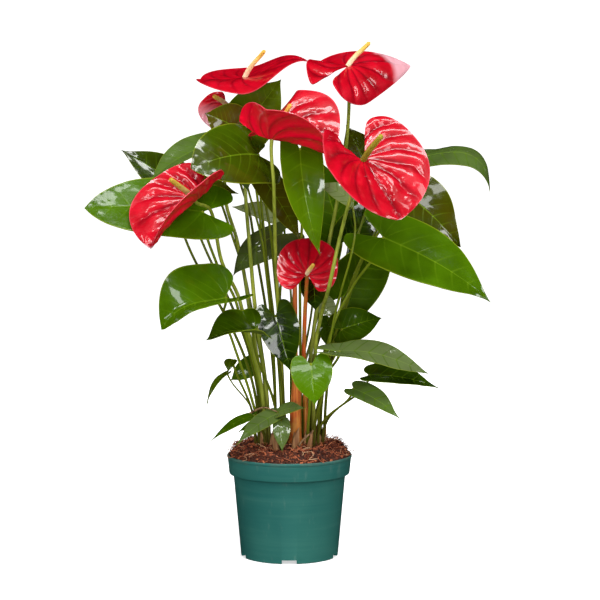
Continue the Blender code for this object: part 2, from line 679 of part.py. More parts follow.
BLOOMS = {
    "top_left": Bloom((-46, 20, 496), (19, 12, 513), (-0.25, -0.2, 0.95), 92, (-26, 0, 522),
                      outline=BROAD_SPATHE,
                      form=Form(fold=(2, 8), curl=(0, -36), lobes=(6, 14), arch=4, skew=1.6,
                                droop=(-3, -7)),
                      foot=(-22, -16),
                      route=[(-36, -20, 270), (-41, -22, 330), (-45, -2, 375), (-46, 16, 430)]),
    "top_right": Bloom((60, -5, 507), (127, 50, 509), (0.0, -0.2, 0.95), 96, (81, -5, 530),
                       outline=POINTED_SPATHE, form=Form(fold=(0, -24), curl=(-8, -64), lobes=(60, 4),
                                                         arch=5, skew=-0.3, twist=30, droop=(27, 0))),
    "back_left": Bloom((-67, 65, 469), (-80, 55, 442), (-0.6, -0.7, 0.3), 62, (-79, 50, 477),
                       form=Form(fold=(10, 10), arch=3), foot=(-28, 0),
                       route=[(-44, 3, 275), (-55, 14, 330), (-66, 23, 366), (-68, 48, 420)]),
    "centre": Bloom((-17, -74, 433), (42, -94, 417), (0.5, -0.1, 0.86), 108, (1, -84, 466),
                    outline=FULL_SPATHE,
                    form=Form(fold=(64, 44), curl=(-10, -15), lobes=(-60, 30), arch=3, spread=(1.25, 0.92)),
                    foot=(-8, -20), route=[(-11, -28, 255), (-14, -50, 325), (-15, -73, 388)]),
    "right": Bloom((73, -100, 413), (109, -131, 356), (0.1, -0.85, 0.5), 116, (89, -128, 436),
                   outline=LONG_SPATHE, form=Form(fold=(4, 28), lobes=(0, 20), arch=3, spread=(1, 0.85)),
                   foot=(25, -20),
                   route=[(27, -30, 222), (33, -50, 258), (40, -86, 288), (50, -92, 335), (61, -103, 378)]),
    "left": Bloom((-93, -95, 374), (-136, -120, 328), (-0.45, -0.75, 0.5), 84, (-114, -120, 394),
                  outline=FULL_SPATHE, form=Form(fold=(60, 14), arch=3, spread=(1, 1.2)), foot=(-25, -24),
                  route=[(-50, -36, 268), (-68, -50, 310), (-78, -68, 362)]),
    "low": Bloom((18, -60, 298), (22, -28, 333), (0.0, -0.75, 0.65), 62, (24, -75, 308),
                 form=Form(fold=(20, 20), curl=(-20, -20), arch=3), stalk=2.5, thick=2.2, foot=(16, -25),
                 route=[(15, -26, 205), (16, -38, 255)]),
}


def make_bloom(name, bloom, green, red, yellow):
    spathe = blade(f"spathe_{name}", bloom.surface, SPATHE_THICKNESS)
    spathe.data.materials.append(red)
    finish(spathe)
    stalk = bloom.stem.build(f"flower_stalk_{name}", steps=6)
    stalk.data.materials.append(green)
    finish(stalk)
    base = bloom.spadix_base
    path = hermite_path([base, bloom.spadix_end], bloom.up, bloom.spadix_end - base, 5)
    path.insert(1, base + bloom.up * 1.5)
    radii = [bloom.thick * (1 - 0.3 * step / (len(path) - 1)) for step in range(len(path))]
    way = (path[-1] - path[-2]).normalized()
    path.append(path[-1] + way * 1.6)
    radii.append(radii[-1] * 0.55)
    spadix = tube(f"spadix_{name}", path, radii, 7)
    spadix.data.materials.append(yellow)
    finish(spadix)


def make_shoot(name, leaves, made_of):
    first, *others = leaves
    obj = blade(name, first.surface, LEAF_THICKNESS)
    pieces = [blade("leaflet", leaf.surface, LEAF_THICKNESS) for leaf in others]
    pieces += [leaf.stem.build("stalk", nub=0.8) for leaf in leaves]
    boolean(obj, pieces, "UNION")
    obj.data.materials.clear()
    obj.data.materials.append(made_of)
    return finish(obj)


def make_sheathed_shoot(made_of):
    obj = SHEATH.build("sheathed_shoot", nub=3.0, sides=8)
    boolean(obj, [SHEATHED.build("stalk", nub=3.0, sides=6)], "UNION")
    obj.data.materials.clear()
    obj.data.materials.append(made_of)
    return finish(obj)


def main():
    clear_scene()
    green = material("leaf green", (0.06, 0.14, 0.006), 0.3)
    stalk_green = material("stalk green", (0.12, 0.18, 0.02), 0.4)
    red = material("spathe red", (0.70, 0.02, 0.04), 0.2)
    yellow = material("spadix yellow", (0.75, 0.50, 0.10), 0.5)
    pot_green = material("pot green", (0.035, 0.15, 0.14), 0.45)
    orange = material("sheath orange", (0.55, 0.10, 0.03), 0.5)
    brown = material("potting mix brown", (0.09, 0.035, 0.02), 0.9)
    join_shoots()
    spread_feet()
    make_pot(pot_green)
    make_mix(brown, [(stem.foot.x, stem.foot.y, stem.radius) for stem in STEMS])
    for name, leaf in LEAVES.items():
        make_leaf(name, leaf, green)
    for name, leaves in SHOOTS.items():
        make_shoot(name, leaves, green)
    make_sheathed_shoot(orange)
    for name, bloom in BLOOMS.items():
        make_bloom(name, bloom, stalk_green, red, yellow)


main()
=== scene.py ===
# %% [markdown]
# A potted anthurium: glossy red spathes and heart-shaped leaves on long bare stalks, in a green nursery
# pot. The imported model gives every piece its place. Its solids are plain, so this script builds each piece
# again from the same measurements, with many more faces and with real relief.

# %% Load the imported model
import json
import math

import bpy
import numpy as np
from mathutils import Matrix, Vector, noise

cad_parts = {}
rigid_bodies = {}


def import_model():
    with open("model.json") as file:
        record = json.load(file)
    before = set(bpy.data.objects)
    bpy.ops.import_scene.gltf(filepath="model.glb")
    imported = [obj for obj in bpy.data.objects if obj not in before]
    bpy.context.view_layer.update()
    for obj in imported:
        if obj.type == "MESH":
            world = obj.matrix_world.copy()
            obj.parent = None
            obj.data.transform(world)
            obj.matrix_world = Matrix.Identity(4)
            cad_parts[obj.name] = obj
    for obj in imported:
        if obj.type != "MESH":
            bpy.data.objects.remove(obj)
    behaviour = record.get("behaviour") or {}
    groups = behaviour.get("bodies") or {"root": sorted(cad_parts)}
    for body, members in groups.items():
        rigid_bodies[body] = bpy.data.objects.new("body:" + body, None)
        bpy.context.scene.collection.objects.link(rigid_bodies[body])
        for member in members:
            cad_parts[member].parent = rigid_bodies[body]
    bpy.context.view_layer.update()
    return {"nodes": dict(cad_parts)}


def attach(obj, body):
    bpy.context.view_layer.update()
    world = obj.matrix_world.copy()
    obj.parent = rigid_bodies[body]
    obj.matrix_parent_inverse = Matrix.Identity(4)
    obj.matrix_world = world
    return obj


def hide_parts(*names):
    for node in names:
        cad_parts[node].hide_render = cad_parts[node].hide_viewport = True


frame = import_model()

MM = 0.001
print("nodes in the packed model:", len(frame["nodes"]))

# %% [markdown]
# A finish is one Principled shader with patterns in front of it. Nodes could be placed by hand, one call
# each, but sums of masks are far easier to read as plain expressions. So a socket is wrapped in a small
# class that adds a Math node for each operator, and every other node comes from one method of the finish.

# %% Sums on sockets
class Value:
    """A node's output that can stand in a sum."""

    def __init__(self, finish, socket):
        self.finish = finish
        self.socket = socket

    def math(self, operation, *terms):
        return self.finish.node("ShaderNodeMath", {"operation": operation}, dict(enumerate(terms)))

    def __add__(self, other):
        return self.math("ADD", self, other)

    def __sub__(self, other):
        return self.math("SUBTRACT", self, other)

    def __rsub__(self, other):
        return self.math("SUBTRACT", other, self)

    def __mul__(self, other):
        return self.math("MULTIPLY", self, other)

    def __truediv__(self, other):
        return self.math("DIVIDE", self, other)

    def __pow__(self, power):
        return self.math("POWER", self, power)

    def __mod__(self, step):
        return self.math("FLOORED_MODULO", self, step)

    def __abs__(self):
        return self.math("ABSOLUTE", self)

    __radd__ = __add__
    __rmul__ = __mul__

    def limited(self):
        """Kept from 0 to 1."""
        return self.math("MINIMUM", self.math("MAXIMUM", self, 0.0), 1.0)

    def rising(self, low, high):
        """0 below the low value, 1 above the high one."""
        return ((self - low) / (high - low)).limited()

    def near_whole(self):
        """How far the value is from the nearest whole number."""
        return abs((self + 0.5) % 1.0 - 0.5)


class Finish:
    """A material whose surface is one Principled shader."""

    def __init__(self, name, constants):
        self.material = bpy.data.materials.new(name)
        self.material.use_nodes = True
        self.tree = self.material.node_tree
        self.shader = self.tree.nodes["Principled BSDF"]
        for socket, value in constants.items():
            self.shader.inputs[socket].default_value = value

    def fill(self, node, inputs):
        for key, value in inputs.items():
            if isinstance(value, Value):
                self.tree.links.new(value.socket, node.inputs[key])
            else:
                node.inputs[key].default_value = value

    def node(self, kind, settings=None, inputs=None, output=0):
        """Any node: its type, its settings, and the values or links of its sockets."""
        made = self.tree.nodes.new(kind)
        for key, value in (settings or {}).items():
            setattr(made, key, value)
        self.fill(made, inputs or {})
        return Value(self, made.outputs[output])

    def place(self):
        return self.node("ShaderNodeTexCoord", output="Object")

    def read(self, name):
        """A number that the piece's mesh holds at each point."""
        return self.node("ShaderNodeAttribute", {"attribute_name": name}, output="Fac")

    def noise(self, scale, detail=2.0, stretch=(1, 1, 1)):
        vector = self.place()
        if stretch != (1, 1, 1):
            vector = self.node("ShaderNodeMapping", None, {"Vector": vector, "Scale": stretch})
        return self.node("ShaderNodeTexNoise", None, {"Vector": vector, "Scale": scale, "Detail": detail})

    def height(self):
        """How high the point lies, in metres."""
        return self.node("ShaderNodeSeparateXYZ", None, {"Vector": self.place()}, output="Z")

    def near_soil(self):
        """1 at the soil, which lies some 120 mm up, fading to 0 about 55 mm above it."""
        return 1.0 - self.height().rising(0.120, 0.175)

    def mix(self, share, first, second):
        return self.node("ShaderNodeMix", {"data_type": "RGBA"}, {0: share, 6: first, 7: second}, output=2)

    def bump(self, height, distance, strength):
        sockets = {"Height": height, "Distance": distance, "Strength": strength}
        return self.node("ShaderNodeBump", None, sockets)

    def into(self, **sockets):
        """Links the shader's sockets; an underscore in a name stands for a space."""
        self.fill(self.shader, {name.replace("_", " "): value for name, value in sockets.items()})
        return self.material


def rgb(*screen):
    """A colour in the linear values that sockets hold, from the red, green and blue a screen shows."""
    shares = [part / 255 for part in screen]
    linear = [((share + 0.055) / 1.055) ** 2.4 if share > 0.04 else share / 12.92 for share in shares]
    return (*linear, 1.0)


print("finishes can be made")

# %% [markdown]
# A leaf of this plant is thick, smooth and waxy, with a paler midrib and side veins that curve to the edge.
# The mesh holds, at each point, which vein is near and how far out the point lies, so the veins follow the
# blade however it bends. One finish serves all the leaves: each mesh also says how bright, olive, pale or
# glossy it is. Bright is partly the leaf's own green and partly painted shade and highlight; olive is a
# painted reflection of the red spathes, with painted shade; pale is partly a paler leaf and partly a painted
# sheen.

# %% Leaf finish
def leaf_finish():
    leaf = Finish("leaf green", {"Coat Roughness": 0.07, "Specular IOR Level": 0.1})
    grain = leaf.noise(38.0, 3.0)
    painted_light_patch = leaf.noise(17.0, 2.0)
    vein = (1.0 - leaf.read("vein").near_whole() * 11.0).limited()
    out = leaf.read("out")
    midrib = (1.0 - out * 26.0).limited()
    under, stem = leaf.read("under"), leaf.read("stem")
    # The tone is partly the leaf's own green and partly painted light: painted shade on leaves deep in the
    # clump, and a painted highlight on the hanging leaf.
    bright = (leaf.read("tone") + (grain - 0.5) * 0.9).limited()
    colour = leaf.mix(bright, rgb(14, 30, 0), rgb(74, 112, 2))
    # Olive patches are a painted reflection of the red spathes, with painted shade, on the leaves near them.
    olive = (leaf.read("olive") * painted_light_patch.rising(0.25, 0.6)).limited()
    colour = leaf.mix(olive, colour, rgb(72, 64, 4))
    lines = (vein * (1.0 - out) * 0.28 + midrib * 0.55).limited()
    colour = leaf.mix(lines, colour, rgb(118, 152, 26))
    # Pale between the veins is partly a paler leaf and partly a painted sheen.
    pale = (leaf.read("pale") * (0.75 - vein * 0.6)).limited()
    colour = leaf.mix(pale, colour, rgb(196, 206, 150))
    colour = leaf.mix(out.rising(0.96, 1.0) * 0.5, colour, rgb(160, 172, 40))
    colour = leaf.mix(under * 0.6, colour, rgb(110, 140, 40))
    stalk = leaf.mix(leaf.read("tone"), rgb(78, 86, 18), rgb(132, 150, 34))
    # Browner and darker towards the soil: partly the stalk's own brown foot, partly painted shade at the
    # foot of the dense clump.
    stalk = leaf.mix(leaf.near_soil() * 0.85, stalk, rgb(56, 38, 16))
    colour = leaf.mix(stem, colour, stalk)
    fine = leaf.noise(900.0, 2.0) * 0.35 + leaf.noise(230.0, 2.0) * 0.65
    normal = leaf.bump(fine - vein * (1.0 - out) * 0.35, 0.0007, 0.5)
    rough = 0.16 + grain * 0.14 + under * 0.2 + stem * 0.12
    return leaf.into(Base_Color=colour, Roughness=rough, Coat_Weight=leaf.read("wax"), Normal=normal)


LEAF_FINISH = leaf_finish()
print("made", LEAF_FINISH.name)

# %% [markdown]
# The spathe is a leaf too, but lacquered: it mirrors the light in white and pink streaks along its ribs.
# The ribs themselves are modelled, because their bright edges are what the eye reads first. The finish only
# paints shade into the furrows, paints the underside a brighter red as a painted light, lightens the thin
# edge and the tip, and adds a fine orange-peel bump.

# %% Spathe finish
def spathe_finish():
    red = Finish("spathe red", {"Coat Weight": 0.55, "Coat Roughness": 0.09, "Specular IOR Level": 0.18})
    out, under = red.read("out"), red.read("under")
    # Painted shade: the red darkens in the furrows between the ribs, less on the underside.
    painted_furrow_shade = (1.0 - red.read("vein").near_whole() * 5.0).limited() * (1.0 - out ** 3.0)
    mottle = red.noise(55.0, 3.0)
    colour = red.mix(mottle.rising(0.3, 0.7), rgb(160, 0, 16), rgb(200, 2, 32))
    # Painted light: the underside is painted a brighter red than the top, to make up for the light it lacks.
    colour = red.mix(under * 0.85, colour, rgb(244, 3, 44))
    colour = red.mix(painted_furrow_shade * (0.65 - under * 0.2), colour, rgb(84, 0, 12))
    colour = red.mix(out.rising(0.975, 1.0) * 0.35, colour, rgb(240, 110, 130))
    colour = red.mix(red.read("pale"), colour, rgb(232, 176, 186))
    normal = red.bump(red.noise(420.0, 3.0), 0.0009, 0.18)
    return red.into(Base_Color=colour, Roughness=0.3 + mottle * 0.12 + under * 0.06, Normal=normal)


SPATHE_FINISH = spathe_finish()
print("made", SPATHE_FINISH.name)

# %% [markdown]
# Flower stalks are smooth and yellow-green, and the low bloom's is flushed orange and red. The young stalk
# in the middle of the clump stands in a thick papery sheath, orange with brown lengthwise streaks.

# %% Stalk and sheath finishes
def stalk_finish():
    stalk = Finish("stalk green", {"Coat Weight": 0.2, "Coat Roughness": 0.2})
    streak = stalk.noise(260.0, 3.0, stretch=(1, 1, 0.06))
    colour = stalk.mix(streak.rising(0.3, 0.7), rgb(112, 128, 34), rgb(166, 176, 62))
    flush = (stalk.read("rusty") * streak.rising(0.2, 0.55)).limited()
    colour = stalk.mix(flush, colour, rgb(222, 98, 44))
    # Browner and darker towards the soil: partly the stalk's own brown foot, partly painted shade at the
    # foot of the dense clump.
    colour = stalk.mix(stalk.near_soil() * 0.8, colour, rgb(72, 50, 22))
    normal = stalk.bump(streak, 0.0003, 0.5)
    return stalk.into(Base_Color=colour, Roughness=0.32 + streak * 0.12, Normal=normal)


def sheath_finish():
    sheath = Finish("sheath orange", {"Coat Weight": 0.1, "Coat Roughness": 0.3})
    streak = sheath.noise(330.0, 4.0, stretch=(1, 1, 0.05))
    painted_light_patch = sheath.noise(70.0, 2.0)
    colour = sheath.mix(streak.rising(0.3, 0.7), rgb(186, 82, 32), rgb(240, 146, 66))
    # Painted highlight: yellow patches on the orange sheath.
    colour = sheath.mix(painted_light_patch.rising(0.5, 0.75) * 0.7, colour, rgb(222, 180, 84))
    husk = sheath.mix(streak.rising(0.35, 0.7), rgb(84, 58, 36), rgb(176, 138, 98))
    colour = sheath.mix(sheath.read("dry"), colour, husk)
    normal = sheath.bump(streak, 0.0006, 0.7)
    return sheath.into(Base_Color=colour, Roughness=0.45 + streak * 0.2, Normal=normal)


STALK_FINISH = stalk_finish()
SHEATH_FINISH = sheath_finish()
print("made", STALK_FINISH.name, "and", SHEATH_FINISH.name)

# %% [markdown]
# A spadix is a rod packed with tiny florets. It opens cream at the foot and golden towards the tip, and an
# older one has turned olive green, darkest at its foot.

# %% Spadix finish
def spadix_finish():
    rod = Finish("spadix yellow", {"Coat Weight": 0.1, "Coat Roughness": 0.3})
    along, age = rod.read("along"), rod.read("age")
    speck = rod.noise(900.0, 2.0)
    colour = rod.mix(along.rising(0.1, 0.7), rgb(248, 222, 186), rgb(242, 200, 92))
    colour = rod.mix(along.rising(0.55, 1.0) * 0.5, colour, rgb(228, 160, 48))
    olive = rod.mix(along, rgb(126, 118, 22), rgb(176, 164, 40))
    colour = rod.mix(age, colour, olive)
    colour = rod.mix(speck.rising(0.5, 0.8) * 0.3, colour, rgb(180, 128, 40))
    normal = rod.bump(speck, 0.0003, 0.5)
    return rod.into(Base_Color=colour, Roughness=0.45 + speck * 0.2, Normal=normal)


SPADIX_FINISH = spadix_finish()
print("made", SPADIX_FINISH.name)

# %% [markdown]
# The pot is thin moulded polypropylene, matt and slightly uneven, with faint turning lines, a few scuffs
# and a dusty rim. Its colour drifts a little from blue-green to grey-green round the wall.

# %% Pot finish
def pot_finish():
    pot = Finish("pot green", {"Coat Weight": 0.06, "Coat Roughness": 0.35})
    cloud = pot.noise(14.0, 3.0)
    lines = pot.noise(240.0, 2.0, stretch=(0.04, 0.04, 1))
    scuff = pot.noise(150.0, 6.0, stretch=(1, 1, 0.3)).rising(0.62, 0.74)
    colour = pot.mix(cloud.rising(0.3, 0.7), rgb(34, 100, 95), rgb(50, 116, 106))
    colour = pot.mix(lines.rising(0.45, 0.8) * 0.25, colour, rgb(78, 136, 122))
    colour = pot.mix(scuff * 0.22, colour, rgb(120, 150, 138))
    dust = pot.height().rising(0.101, 0.1062) * pot.noise(120.0, 4.0).rising(0.35, 0.65)
    colour = pot.mix(dust * 0.35, colour, rgb(128, 116, 96))
    normal = pot.bump(lines + scuff * 0.4, 0.0002, 0.5)
    return pot.into(Base_Color=colour, Roughness=0.38 + cloud * 0.14 + scuff * 0.15, Normal=normal)


POT_FINISH = pot_finish()
print("made", POT_FINISH.name)

# %% [markdown]
# The mix is composted bark and coir: almost black crumbs, red-brown chips and orange to straw-coloured
# fibres. Every chip holds its own number, and the finish turns that number into one of those colours.

# %% Potting mix finish
def mix_finish():
    mix = Finish("potting mix brown", {})
    shade = mix.read("shade")
    grain = mix.noise(520.0, 4.0)
    colour = mix.mix(grain.rising(0.3, 0.7), rgb(30, 16, 12), rgb(96, 50, 34))
    colour = mix.mix(shade.rising(0.30, 0.60) * 0.8, colour, rgb(132, 64, 42))
    colour = mix.mix(shade.rising(0.64, 0.82), colour, rgb(200, 112, 72))
    colour = mix.mix(shade.rising(0.88, 0.97), colour, rgb(228, 182, 140))
    normal = mix.bump(grain, 0.0012, 0.9)
    return mix.into(Base_Color=colour, Roughness=0.7 + grain * 0.2, Normal=normal)


MIX_FINISH = mix_finish()
print("made", MIX_FINISH.name)

# %% [markdown]
# The plant's curves are the ones its solids were made from: smooth paths for stalks, and a heart outline
# that is folded, curled and arched in space for leaves and spathes. All lengths below are in millimetres.

# %% Curves and the heart outline
WAVES = 2.5  # ripples along a wavy edge


def bezier(a, b, c, d, t):
    s = 1.0 - t
    return a * s**3 + b * 3 * s * s * t + c * 3 * s * t * t + d * t**3


def hermite_path(points, first_way, last_way, steps):
    """A smooth path through the points, leaving and arriving in the two given directions."""
    points = [Vector(p) for p in points]
    ways = [Vector(first_way).normalized()]
    for before, after in zip(points, points[2:]):
        ways.append((after - before).normalized())
    ways.append(Vector(last_way).normalized())
    whole = sum((after - before).length for before, after in zip(points, points[1:]))
    path = []
    for index, (start, end) in enumerate(zip(points, points[1:])):
        span = (end - start).length
        lean_in = ways[index] * span * (0.45 if index == 0 else 0.33)
        lean_out = ways[index + 1] * span * 0.33
        share = max(2, round(steps * span / whole))
        for step in range(share):
            path.append(bezier(start, start + lean_in, end - lean_out, end, step / share))
    path.append(points[-1])
    return path


class Outline:
    """A heart's outline in shares of the length from its junction, at 0, to its tip, at 1."""

    def __init__(self, back, inset, widest, shoulder, taper, neck=0.10):
        self.back = back  # how far the lobes reach behind the junction
        self.inset = inset  # where each lobe is lowest, as a share of the half width
        self.widest = widest  # how far ahead of the junction it is widest
        self.shoulder = shoulder  # how long the outline stays wide ahead of its widest place
        self.taper = taper  # where the outline turns in to the drawn-out tip
        self.neck = neck  # how wide it still is there, as a share of the half width

    def outer(self, half, t):
        """From the bottom of the lobe, at t = 0, round the side to the tip, at t = 1."""
        low = Vector((-self.back, self.inset * half))
        wide = Vector((self.widest, half))
        if t < 0.4:
            reach = Vector((-self.back, half * 0.86))
            return bezier(low, reach, wide - Vector((0.6 * (self.widest + self.back), 0)), wide, t / 0.4)
        full = wide + Vector((self.shoulder, 0))
        drawn = Vector((self.taper, self.neck * half))
        return bezier(wide, full, drawn, Vector((1, 0)), (t - 0.4) / 0.6)

    def inner(self, half, s, junction):
        """From the bottom of the lobe up the notch to the junction, then along the midrib to the tip."""
        if s >= junction:
            return Vector(((s - junction) / (1 - junction), 0))
        low = Vector((-self.back, self.inset * half))
        turn = Vector((-self.back, self.inset * half * 0.6))
        notch = Vector((-0.35 * self.back, self.inset * half * 0.4))
        return bezier(low, turn, notch, Vector((0, 0)), s / junction)


LEAF = Outline(back=0.26, inset=0.50, widest=0.14, shoulder=0.52, taper=0.84)
BLUNT_LEAF = Outline(back=0.26, inset=0.50, widest=0.20, shoulder=0.66, taper=0.96)
NARROW_LEAF = Outline(back=0.10, inset=0.45, widest=0.26, shoulder=0.38, taper=0.76)
SPATHE = Outline(back=0.44, inset=0.52, widest=0.12, shoulder=0.68, taper=0.95)
POINTED_SPATHE = Outline(back=0.44, inset=0.52, widest=0.06, shoulder=0.16, taper=0.82, neck=0.32)
LONG_SPATHE = Outline(back=0.52, inset=0.55, widest=0.14, shoulder=0.74, taper=0.97, neck=0.16)
BROAD_SPATHE = Outline(back=0.70, inset=0.19, widest=0.04, shoulder=0.60, taper=0.95)
FULL_SPATHE = Outline(back=0.54, inset=0.40, widest=0.30, shoulder=0.62, taper=1.0, neck=0.3)


class Form:
    """How a flat blade is bent, in degrees and millimetres.

    Pairs give the left side, then the right, seen from above with the tip ahead.
    """

    def __init__(self, fold=(12, 12), curl=(0, 0), lobes=(0, 0), arch=6, skew=0.0, sway=0, twist=0, wave=0,
                 spread=(1, 1), droop=(0, 0)):
        self.fold = fold  # each side's rise from the midrib; minus falls
        self.curl = curl  # how much more the side turns by its edge; minus turns down
        self.lobes = lobes  # how much more the lobes rise
        self.arch = arch  # how high the midrib stands over the straight line from junction to tip
        self.skew = skew  # minus moves the top of the arch to the junction, plus to the tip
        self.sway = sway  # how far the midrib bows to the left
        self.twist = twist  # how far the tip is turned about the midrib
        self.wave = wave  # how high the edge ripples
        self.spread = spread  # how wide each side is, as a share of half the width
        self.droop = droop  # how far each lobe hangs down at its end

    def bow(self, share):
        """How far a bowed midrib stands off its straight line, for a bow of one."""
        return 4 * share * (1 - share) if share >= 0 else 2.4 * share

    def arch_at(self, share):
        lean = 1 + self.skew * (2 * share - 1) if share >= 0 else 1 - self.skew
        return self.arch * self.bow(share) * lean


def side_section(distance, half, fold, curl, soft=7.0, steps=8):
    """Where a point of a side goes, across and up, when the side is bent about the midrib."""
    across = up = 0.0
    piece = distance / steps
    for step in range(steps):
        place = (step + 0.5) * piece
        angle = math.radians(fold * min(1.0, place / soft) + curl * place / half)
        across += math.cos(angle) * piece
        up += math.sin(angle) * piece
    return across, up


print("a leaf is widest", LEAF.widest, "of its length ahead of the stalk")

# %% [markdown]
# Side veins could be painted as stripes across the blade, but a heart leaf's run two ways: ahead of the
# stalk they leave the midrib slanting to the tip, and behind it they fan out from the stalk into the lobes.
# A spathe's ribs all fan out from the stalk and bend towards the tip. One number per point says which vein
# it is near, so both finish and relief can follow the veins.

# %% Which vein a point is near
VEIN_SLANT = 0.5
VEIN_BEND = 0.9


def vein_start(x, y):
    """Where on the midrib the vein through a point begins; minus in the lobes."""
    return x - VEIN_SLANT * y - VEIN_BEND * y * y


def vein_number(x, y, along, around):
    """x runs from the stalk at 0 to the tip at 1, and y is how far the point lies from the midrib."""
    start = vein_start(x, y)
    if start >= 0:
        return start * along
    reach = math.hypot(x, y)
    edge_y = y
    for _ in range(4):
        edge_x = VEIN_SLANT * edge_y + VEIN_BEND * edge_y * edge_y
        edge_y *= reach / max(1e-6, math.hypot(edge_x, edge_y))
    edge = math.atan2(edge_y, VEIN_SLANT * edge_y + VEIN_BEND * edge_y * edge_y) if y else 1.1
    return -around * (math.atan2(y, x) - edge) / (math.pi - edge) * (1 + 1.1 * reach)


RIB_BEND = 0.45


def rib_number(x, y, count):
    """Ribs leave the stalk at even angles, and turn towards the tip as they run out."""
    return count * math.atan2(y, x) / math.pi / max(0.35, 1 - RIB_BEND * math.hypot(x, y))


print("veins start at the midrib, or in the lobes:", vein_start(0.5, 0.1) > 0, vein_start(-0.2, 0.2) > 0)

# %% [markdown]
# A blade is two skins a little apart, joined round the edge. Solidify would do that, but it moves both
# skins alike, and here the upper skin dips along the midrib while the lower one bulges. So the skins are
# laid down point by point, and each point keeps what the finish reads there.

# %% Blades with relief
class Shape:
    """Points in millimetres, faces, and the numbers that the finish reads at each point."""

    def __init__(self):
        self.points, self.faces = [], []
        self.reads = {}

    def add(self, points, faces, **reads):
        """Adds a part; a single number stands for the same number at every point."""
        first = len(self.points)
        for name in sorted(set(self.reads) | set(reads)):
            held = self.reads.setdefault(name, [0.0] * first)
            given = reads.get(name, 0.0)
            held += [given] * len(points) if isinstance(given, (int, float)) else list(given)
        self.points += list(points)
        self.faces += [tuple(corner + first for corner in face) for face in faces]

    def fill(self, **reads):
        """Gives every point the same number."""
        for name, value in reads.items():
            self.reads[name] = [value] * len(self.points)

    def build(self, name, finish, sharp_angle=40.0):
        """Makes the piece, smooth but for the edges that are sharper than the angle."""
        mesh = bpy.data.meshes.new(name)
        mesh.from_pydata([Vector(point) * MM for point in self.points], [], self.faces)
        for read, values in self.reads.items():
            held = mesh.attributes.new(read, "FLOAT", "POINT")
            held.data.foreach_set("value", np.array(values, np.float32))
        mesh.shade_smooth()
        mesh.set_sharp_from_angle(angle=math.radians(sharp_angle))
        mesh.materials.append(finish)
        mesh.update()
        obj = bpy.data.objects.new(name, mesh)
        bpy.context.scene.collection.objects.link(obj)
        return obj


def blade_grid(junction, tip, normal, width, outline, form, rows, columns, veins):
    """A blade's middle surface from above: its points and faces, and each point's vein and distance out."""
    junction, tip = Vector(junction), Vector(tip)
    length = (tip - junction).length
    ahead = (tip - junction).normalized()
    up = Vector(normal)
    up = (up - ahead * up.dot(ahead)).normalized()
    left = up.cross(ahead)
    half = 0.5 * width / length
    junction_row = round(rows * 0.3)
    points, index, faces, vein, outs, alongs = [], {}, [], [], [], []

    def place(flat, side, along, out):
        share = flat.x
        behind = max(0.0, -share / outline.back)
        across, rise = side_section(
            abs(flat.y) * length * form.spread[side], half * length,
            form.fold[side] + form.lobes[side] * behind, form.curl[side]
        )
        rise -= form.droop[side] * behind ** 1.5
        rise += form.wave * out * out * math.sin(2 * math.pi * WAVES * along + 2.1 * side)
        turn = Matrix.Rotation(math.radians(form.twist * share), 3, ahead)
        sideways = left if side == 0 else -left
        midrib = junction + ahead * share * length + left * form.sway * form.bow(share)
        return midrib + turn @ (sideways * across + up * (rise + form.arch_at(share)))

    def corner(row, column, side):
        at_end = row in (0, rows)
        shared = row == rows or (row >= junction_row and column == 0)
        key = (row, 0 if at_end else column, 0 if shared else side)
        if key not in index:
            along = row / rows
            out = 0.0 if at_end else column / columns
            flat = outline.inner(half, along, junction_row / rows).lerp(outline.outer(half, along), out)
            index[key] = len(points)
            points.append(place(flat, side, along, out))
            pattern = vein_number if len(veins) == 2 else rib_number
            vein.append(pattern(flat.x, abs(flat.y), *veins))
            outs.append(1.0 if at_end else out)
            alongs.append(flat.x)
        return index[key]

    for side in (0, 1):
        for row in range(rows):
            for column in range(columns):
                around = (corner(row, column, side), corner(row + 1, column, side),
                          corner(row + 1, column + 1, side), corner(row, column + 1, side))
                face = tuple(dict.fromkeys(around))
                if len(face) > 2:
                    faces.append(face if side == 0 else tuple(reversed(face)))
    return points, faces, vein, outs, alongs


def point_normals(points, faces):
    """The way each point faces, as the mean of the faces round it."""
    places = np.array([tuple(point) for point in points])
    normals = np.zeros_like(places)
    triangles = np.array([(face[0], *pair) for face in faces for pair in zip(face[1:], face[2:])])
    first, second, third = (places[triangles[:, corner]] for corner in range(3))
    areas = np.cross(second - first, third - first)
    for corner in range(3):
        np.add.at(normals, triangles[:, corner], areas)
    normals /= np.maximum(1e-9, np.linalg.norm(normals, axis=1))[:, None]
    return [Vector(normal) for normal in normals]


def add_blade(shape, grid, thickness, relief, groove, pale):
    """Gives a middle surface its relief and its two skins; pale says how pale each point is, which is a
    faded tip on a spathe and partly a painted sheen on a leaf.
    """
    points, faces, vein, outs, alongs = grid
    normals = point_normals(points, faces)
    upper, lower = [], []
    for point, normal, number, out in zip(points, normals, vein, outs):
        middle = point + normal * relief(number, out, point)
        thin = 0.5 * thickness * (1 - 0.35 * out ** 3)
        rib = groove * math.exp(-((out / 0.05) ** 2))
        upper.append(middle + normal * (thin - 0.6 * rib))
        lower.append(middle - normal * (thin + rib))
    count = len(points)
    skins = list(faces) + [tuple(corner + count for corner in reversed(face)) for face in faces]
    edges = {edge for face in faces for edge in zip(face, face[1:] + face[:1])}
    for start, end in sorted(edges):
        if (end, start) not in edges:
            skins.append((end, start, start + count, end + count))
    pales = [pale(along, out) for along, out in zip(alongs, outs)]
    under = [0.0] * count + [1.0] * count
    shape.add(upper + lower, skins, vein=vein * 2, out=outs * 2, under=under, pale=pales * 2)


print("blades can be laid down")

# %% [markdown]
# Stalks are tubes along a smooth path. A frame carried from ring to ring keeps the tube from twisting, and
# the radii come from a function of how far along the stalk the ring is.

